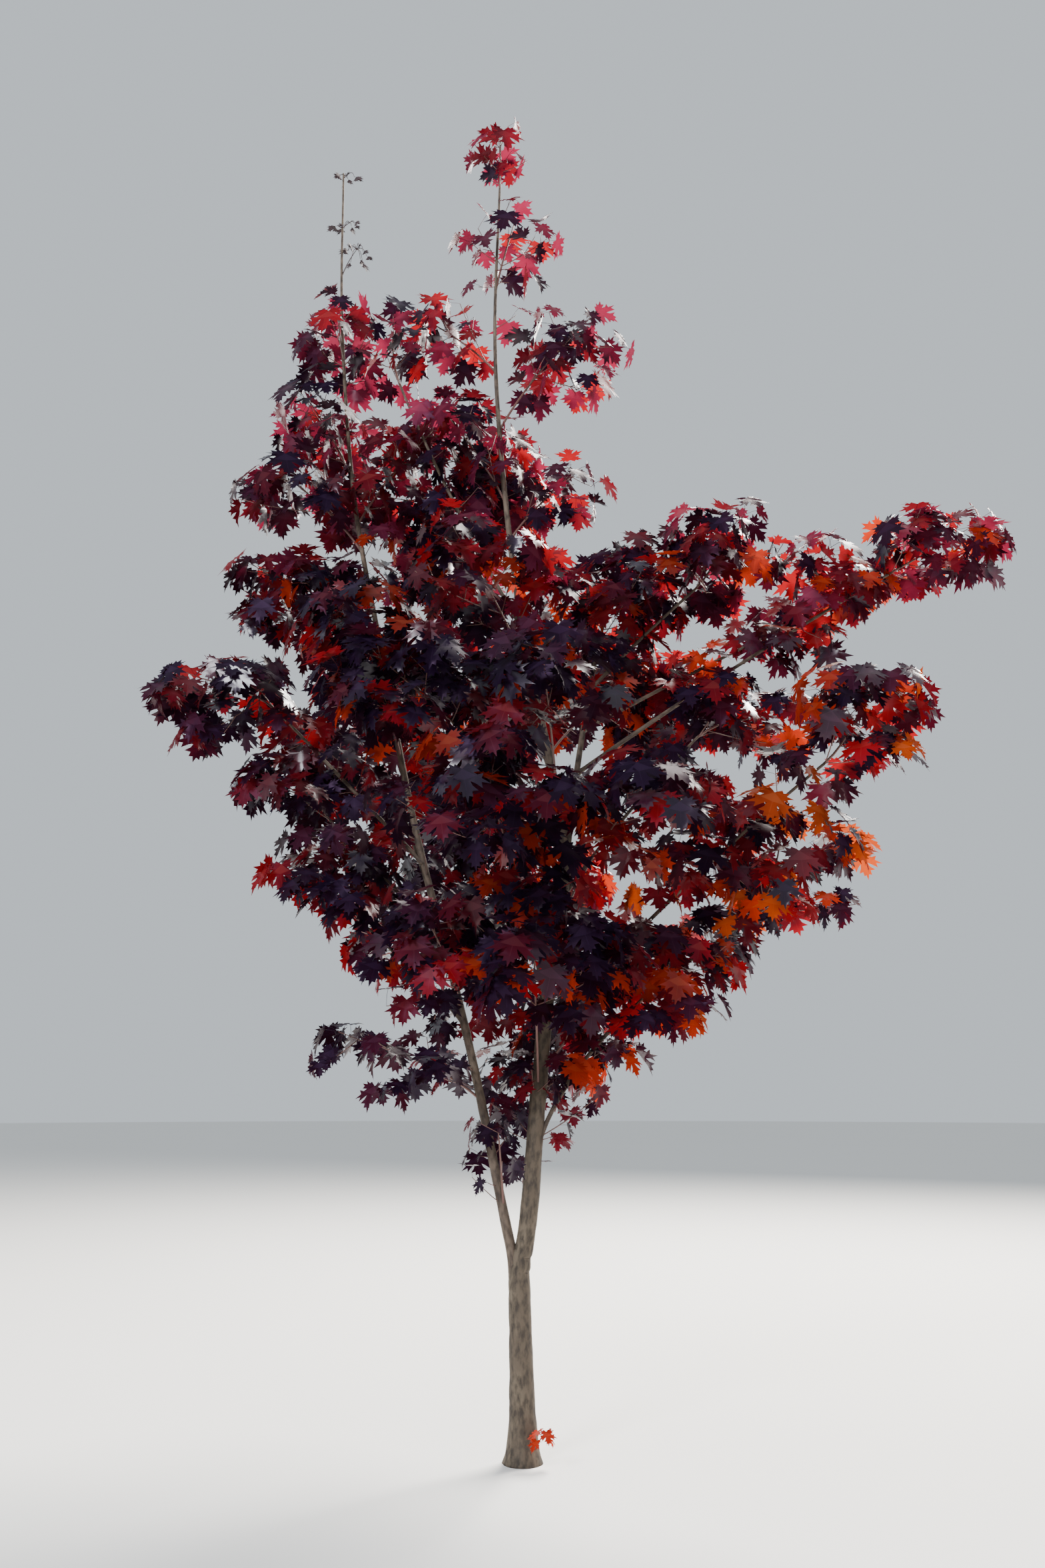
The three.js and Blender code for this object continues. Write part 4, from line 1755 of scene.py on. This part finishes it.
    def grow_shoot(self, shoot: Shoot) -> bool:
        """Grows a shoot with its leaves and side shoots, unless it would stay bare.

        Args:
            shoot: The shoot.

        Returns:
            Whether it bears a leaf.
        """
        bears = self.hang_leaves(shoot)
        for pair, share in enumerate(shoot.sides):
            start, along = shoot.course.at(share), shoot.course.heading(share)
            for heading in self.pair_headings(along, pair, self.side_angles):
                length = shoot.length * (1.0 - share) * self.stream.between(*self.side_lengths)
                if length > self.shortest and self.stream.share() < self.side_chance:
                    side = Shoot(start, heading, length, self.side_bare, shoot.away, shoot.reach)
                    bears = self.grow_shoot(side) or bears
        if bears:
            thick = self.twig_girth[0] * min(1.0, self.thin_twig + shoot.length)
            self.wood.twig(shoot.course, self.twig_step, (thick, self.twig_girth[1]))
        return bears

    def clothe(self, course: Course, first: float) -> None:
        """Grows short spurs with leaves along a limb.

        Args:
            course: The limb's centre line.
            first: The share of it that is bare.
        """
        pairs = int(float(course.runs()[-1]) * (1.0 - first) / self.spur_gap)
        for pair in range(pairs):
            share = first + (1.0 - first) * (pair + self.stream.share()) / pairs
            start, along = course.at(share), course.heading(share)
            if not self.within(start[None], self.spur_reach[0]):
                continue
            chance = self.spur_chance - self.spur_loss * (start[2] - self.spur_full)
            for heading in self.pair_headings(along, pair, self.spur_angles):
                if self.stream.share() <= chance:
                    length = self.stream.between(*self.spur)
                    reach = self.stream.between(*self.spur_reach)
                    spur = Shoot(start, heading, length, self.spur_bare, start, reach)
                    self.grow_shoot(spur)

    def hang_leaves(self, shoot: Shoot) -> bool:
        """Hangs opposite pairs of leaves on a shoot, and one more at its tip.

        Args:
            shoot: The shoot.

        Returns:
            Whether any leaf found room.
        """
        bears = False
        pairs = max(1, round(shoot.length * (1.0 - shoot.bare) / self.leaf_spacing))
        for pair in range(pairs + 1):
            share = shoot.bare + (1.0 - shoot.bare) * pair / pairs
            root, along = shoot.course.at(share), shoot.course.heading(share)
            tint = self.spray_tint(root)
            ways = self.pair_ways(along, pair, self.leaf_turn)
            if pair == pairs:
                ways.append(along)
            outward = unit(root - shoot.away)
            for way in ways:
                way = way + self.leaf_along * along + self.leaf_outward * outward
                bears = self.hang_leaf(root, way, tint, shoot.reach) or bears
        return bears

    def hang_leaf(self, root: Array, way: Array, tint: Tint, reach: float) -> bool:
        """Hangs one leaf if it finds room, each try turning it further and making it smaller.

        Args:
            root: Where its stalk starts.
            way: Which way it reaches.
            tint: Its colour.
            reach: How far out in a mass's space it may lie.

        Returns:
            Whether it found room.
        """
        base = math.atan2(way[1], way[0])
        for attempt in range(self.tries):
            kind = int(self.stream.share() * len(self.probes))
            swing = math.radians(self.yaw + self.yaw_by_try * attempt)
            yaw = base + swing * self.stream.between(-1.0, 1.0)
            raised = self.lying_pitch if self.stream.share() < self.lying else 0.0
            roll = math.radians(self.stream.between(*self.rolls))
            turn = (roll, math.radians(self.stream.between(*self.pitches) - raised), yaw)
            size = self.blade * self.stream.between(*self.blade_sizes)
            size *= 1.0 - self.shrink_by_try * attempt
            size *= float(np.interp(root[2], *self.low_blades))
            points = root + size * self.probes[kind] @ turn_matrix(turn).T
            if not self.within(points, reach) or not self.clear_of_limbs(points):
                continue
            if self.hides_stem(points[0]) and self.stream.share() > self.stray:
                continue
            if self.has_space(points[0]):
                wax = self.stream.between(*self.wax) if self.stream.share() < self.waxed else 0.0
                wax *= float(np.interp(root[2], *self.wax_by_height))
                self.leaves[tint].add(root, turn, size, kind, wax)
                return True
        return False

    def build(self, nursery: Nursery) -> list[Object]:
        """Grows every mass, clothes the limbs, and makes the pieces that replace the masses.

        Args:
            nursery: The groups that grow them.

        Returns:
            The pieces.
        """
        for number, mass in enumerate(MASSES):
            self.stream = Stream(FIRST_SEED + number)
            self.grow_mass(mass)
        self.stream = Stream(FIRST_SEED)
        bare = {stem.name: self.bare_below for stem in STEMS[1:]}
        for name, limb in self.skeleton.limbs.items():
            if name in bare:
                self.clothe(limb.course, limb.course.share_at_height(bare[name]))
            elif name != "trunk":
                self.clothe(limb.course, self.spur_start)
        pieces = [nursery.twigs("twigs", self.wood, TWIG_BARK.material(), self.ring_gap)]
        for tint, leaves in self.leaves.items():
            label = "leaves_" + tint.name.lower()
            pieces.append(nursery.leaves(label, leaves, self.shapes, tint.value.material()))
            LOG.info("%s: %d leaves", label, len(leaves.leaves))
        settle(pieces, [mass.name for mass in MASSES])
        return pieces


def turn_matrix(turn: Point) -> Array:
    """Works out the matrix that turns about X, then Y, then Z.

    Args:
        turn: The three angles in radians.

    Returns:
        The matrix.
    """
    (sx, sy, sz), (cx, cy, cz) = np.sin(turn), np.cos(turn)
    about_x = np.array(((1, 0, 0), (0, cx, -sx), (0, sx, cx)))
    about_y = np.array(((cy, 0, sy), (0, 1, 0), (-sy, 0, cy)))
    about_z = np.array(((cz, -sz, 0), (sz, cz, 0), (0, 0, 1)))
    return about_z @ about_y @ about_x


@dataclass(frozen=True)
class DeadSprig:
    """A dead side twig on the left leader, whose leaf stalks have curled over.

    Attributes:
        height: Where it leaves the leader.
        bearing: Which way it leaves, in degrees, 0 being +X.
        reach: How far out it goes.
        rise: How far up it goes.
        stalks: How many leaf stalks it has at its tip.
        curl: The length of a stalk.
    """

    height: float
    bearing: float
    reach: float
    rise: float
    stalks: int
    curl: float


@dataclass
class WitheredTip:
    """The bare end of the left leader, with dead side twigs and a few shrivelled leaves.

    The lengths of a curled stalk's parts are shares of its curl. Pairs that end in s are the least
    and the most of what chance deals out, with angles in radians.
    """

    skeleton: Skeleton
    sprigs: tuple[DeadSprig, ...] = (
        DeadSprig(5.16, 12.0, 0.066, 0.165, 9, 0.058),
        DeadSprig(5.43, 188.0, 0.024, 0.014, 1, 0.006),
        DeadSprig(5.43, 15.0, 0.034, 0.040, 5, 0.030),
        DeadSprig(5.71, 40.0, 0.006, 0.022, 5, 0.024),
        DeadSprig(5.71, 4.0, 0.026, 0.034, 1, 0.034),
    )
    dry_leaf: LobedLeaf = LobedLeaf(ripple=0.08, stalk_radius=0.03)
    hangs: tuple[LeafHang, ...] = (
        LeafHang(0.3, 10.0, 78.0, 0.3, 0.4, 2.6),
        LeafHang(0.3, 10.0, 82.0, 0.3, 0.4, 2.4),
        LeafHang(0.3, 10.0, 86.0, 0.3, 0.4, 2.2),
    )
    seed: int = 11
    leaf: float = 0.027
    knee: Range = (0.3, 0.5)
    bend_out: float = 0.55
    bends_up: Range = (0.4, 0.8)
    ends_out: Range = (0.6, 1.0)
    ends_down: Range = (0.0, 0.8)
    yaws: Range = (-0.5, 0.5)
    rolls: Range = (-0.4, 0.4)
    pitches: Range = (0.1, 0.5)
    sizes: Range = (0.7, 1.25)
    twig_step: int = 20
    twig_girth: Range = (2.8, 1.7)
    stalk_step: int = 30
    stalk_girth: Range = (1.7, 1.2)
    ring_gap: float = 0.006

    def build(self, nursery: Nursery) -> list[Object]:
        """Grows the dead twigs and hangs their leaves.

        Args:
            nursery: The groups that grow them.

        Returns:
            The pieces.
        """
        shapes, _ = leaf_shapes("withered", self.dry_leaf, self.hangs, 0)
        leader = self.skeleton.limbs["left_leader"].course
        stream, wood, leaves = Stream(self.seed), Wood(), Hanging()
        for sprig in self.sprigs:
            bearing = math.radians(sprig.bearing)
            out = np.array((math.cos(bearing), math.sin(bearing), 0.0)) * sprig.reach
            rise = UP * sprig.rise
            start = leader.at(leader.share_at_height(sprig.height))
            end = start + out + rise
            twig = Course.bent(start, start + out * self.knee[0] + rise * self.knee[1], end)
            wood.twig(twig, self.twig_step, self.twig_girth)
            for stalk in range(sprig.stalks):
                yaw = bearing + math.tau * stalk / sprig.stalks + stream.between(*self.yaws)
                side = np.array((math.cos(yaw), math.sin(yaw), 0.0))
                over = self.bend_out * side + stream.between(*self.bends_up) * UP
                last = stream.between(*self.ends_out) * side - stream.between(*self.ends_down) * UP
                curled = Course.bent(end, end + sprig.curl * over, end + sprig.curl * last)
                wood.twig(curled, self.stalk_step, self.stalk_girth)
                turn = (stream.between(*self.rolls), stream.between(*self.pitches), yaw)
                size = self.leaf * stream.between(*self.sizes)
                kind = int(stream.share() * len(self.hangs))
                leaves.add(curled.points[-1], turn, size, kind, 0.0)
        finish = WITHERED.material()
        pieces = [
            nursery.twigs("withered_twigs", wood, finish, self.ring_gap),
            nursery.leaves("withered_leaves", leaves, shapes, finish),
        ]
        settle(pieces)
        return pieces


@dataclass
class FootSprout:
    """A small young sprout at the trunk's foot, with a few bright leaves.

    Its leaves are pairs: a place along it, and which way the leaf reaches, in radians.
    """

    foot: Point = (0.045, -0.03, 0.05)
    tip: Point = (0.075, -0.10, 0.13)
    leaves: tuple[Range, ...] = ((0.7, -2.4), (0.75, 0.4), (1.0, -1.2), (1.0, -0.2), (1.0, 2.4))
    seed: int = 23
    blade: float = 0.055
    sizes: Range = (0.8, 1.1)
    sag: float = 0.02
    step: int = 40
    girth: Range = (2.2, 1.2)
    ring_gap: float = 0.02

    def build(self, nursery: Nursery, shapes: Collection) -> list[Object]:
        """Grows the sprout.

        Args:
            nursery: The groups that grow them.
            shapes: The leaf shapes.

        Returns:
            The pieces.
        """
        foot, tip = np.array(self.foot), np.array(self.tip)
        course = Course.bent(foot, (foot + tip) / 2 - UP * self.sag, tip)
        wood, leaves, stream = Wood(), Hanging(), Stream(self.seed)
        wood.twig(course, self.step, self.girth)
        for place, yaw in self.leaves:
            size = self.blade * stream.between(*self.sizes)
            kind = int(stream.share() * len(shapes.objects))
            leaves.add(course.at(place), (0.0, 0.0, yaw), size, kind, 0.0)
        # The sprout's leaves take the ember tint, whose orange is partly painted sunlight shining
        # through.
        pieces = [
            nursery.twigs("sprout_twig", wood, TWIG_BARK.material(), self.ring_gap),
            nursery.leaves("sprout_leaves", leaves, shapes, Tint.EMBER.value.material()),
        ]
        settle(pieces)
        return pieces


@dataclass(frozen=True)
class SoftLight:
    """A large soft lamp: where it stands, what it faces, its side length and its power."""

    name: str
    place: Point
    target: Point
    side: float
    power: float
    colour: Colour

    def build(self) -> None:
        """Makes the lamp."""
        lamp = bpy.data.lights.new(self.name, "AREA")
        lamp.shape = "SQUARE"
        lamp.size = self.side
        lamp.energy = self.power
        lamp.color = self.colour
        x, y, z = np.array(self.place) - np.array(self.target)
        holder = stand(self.name, lamp)
        holder.location = self.place
        tilt, turn = math.atan2(math.hypot(x, y), z), math.atan2(y, x) + math.pi / 2
        holder.rotation_euler = (tilt, 0.0, turn)


@dataclass(frozen=True)
class Studio:
    """The plain floor, the soft light and the camera at the viewer's place."""

    floor_radius: float = 60.0
    floor_sides: int = 64
    sky: Colour = (0.80, 0.87, 0.93)
    sky_power: float = 0.8
    eye: Point = (0.0, -5.15, 1.356)
    pitch: float = 14.08
    lens: float = 28.316
    sensor: float = 36.0
    far: float = 200.0
    lights: tuple[SoftLight, ...] = (
        SoftLight("key", (4.4, 6.8, 10.4), (0.2, 0.0, 3.4), 6.0, 7000.0, (1.0, 0.95, 0.88)),
        SoftLight("fill", (-4.5, -7.0, 6.0), (0.0, 0.0, 3.0), 2.4, 850.0, (0.92, 0.96, 1.0)),
    )

    def build(self) -> None:
        """Makes the studio."""
        angles = [step * math.tau / self.floor_sides for step in range(self.floor_sides)]
        corners = [self.floor_radius * np.array((math.cos(a), math.sin(a), 0.0)) for a in angles]
        mesh = point_mesh("floor", corners, faces=[range(self.floor_sides)])
        mesh.materials.append(FLOOR.material())
        stand("floor", mesh)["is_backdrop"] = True
        world = bpy.data.worlds.new("studio")
        world.use_nodes = True
        sockets = {"Color": (*self.sky, 1.0), "Strength": self.sky_power}
        Graph(world.node_tree).fill(world.node_tree.nodes["Background"], sockets)
        bpy.context.scene.world = world
        for light in self.lights:
            light.build()
        camera = bpy.data.cameras.new("camera")
        camera.sensor_width = self.sensor
        camera.lens = self.lens
        camera.clip_end = self.far
        holder = stand("camera", camera)
        holder.location = self.eye
        holder.rotation_euler = (math.radians(90.0 + self.pitch), 0.0, 0.0)
        bpy.context.scene.camera = holder


def main() -> None:
    """Builds the tree and its studio."""
    logging.basicConfig(level=logging.INFO, format="%(message)s")
    solid_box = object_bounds()
    low, high = (np.array(corner) for corner in solid_box)
    slack = LEAF_SLACK * (high - low)
    skeleton = Skeleton()
    nursery = Nursery()
    pieces = Bark(skeleton).build(nursery.bark)
    crown = Crown(skeleton, low - slack, high + slack)
    pieces += crown.build(nursery)
    pieces += WitheredTip(skeleton).build(nursery)
    pieces += FootSprout().build(nursery, crown.shapes)
    Studio().build()
    for piece in pieces:
        LOG.info("%s: %d faces", piece.name, len(piece.data.polygons))


if __name__ == "__main__":
    main()
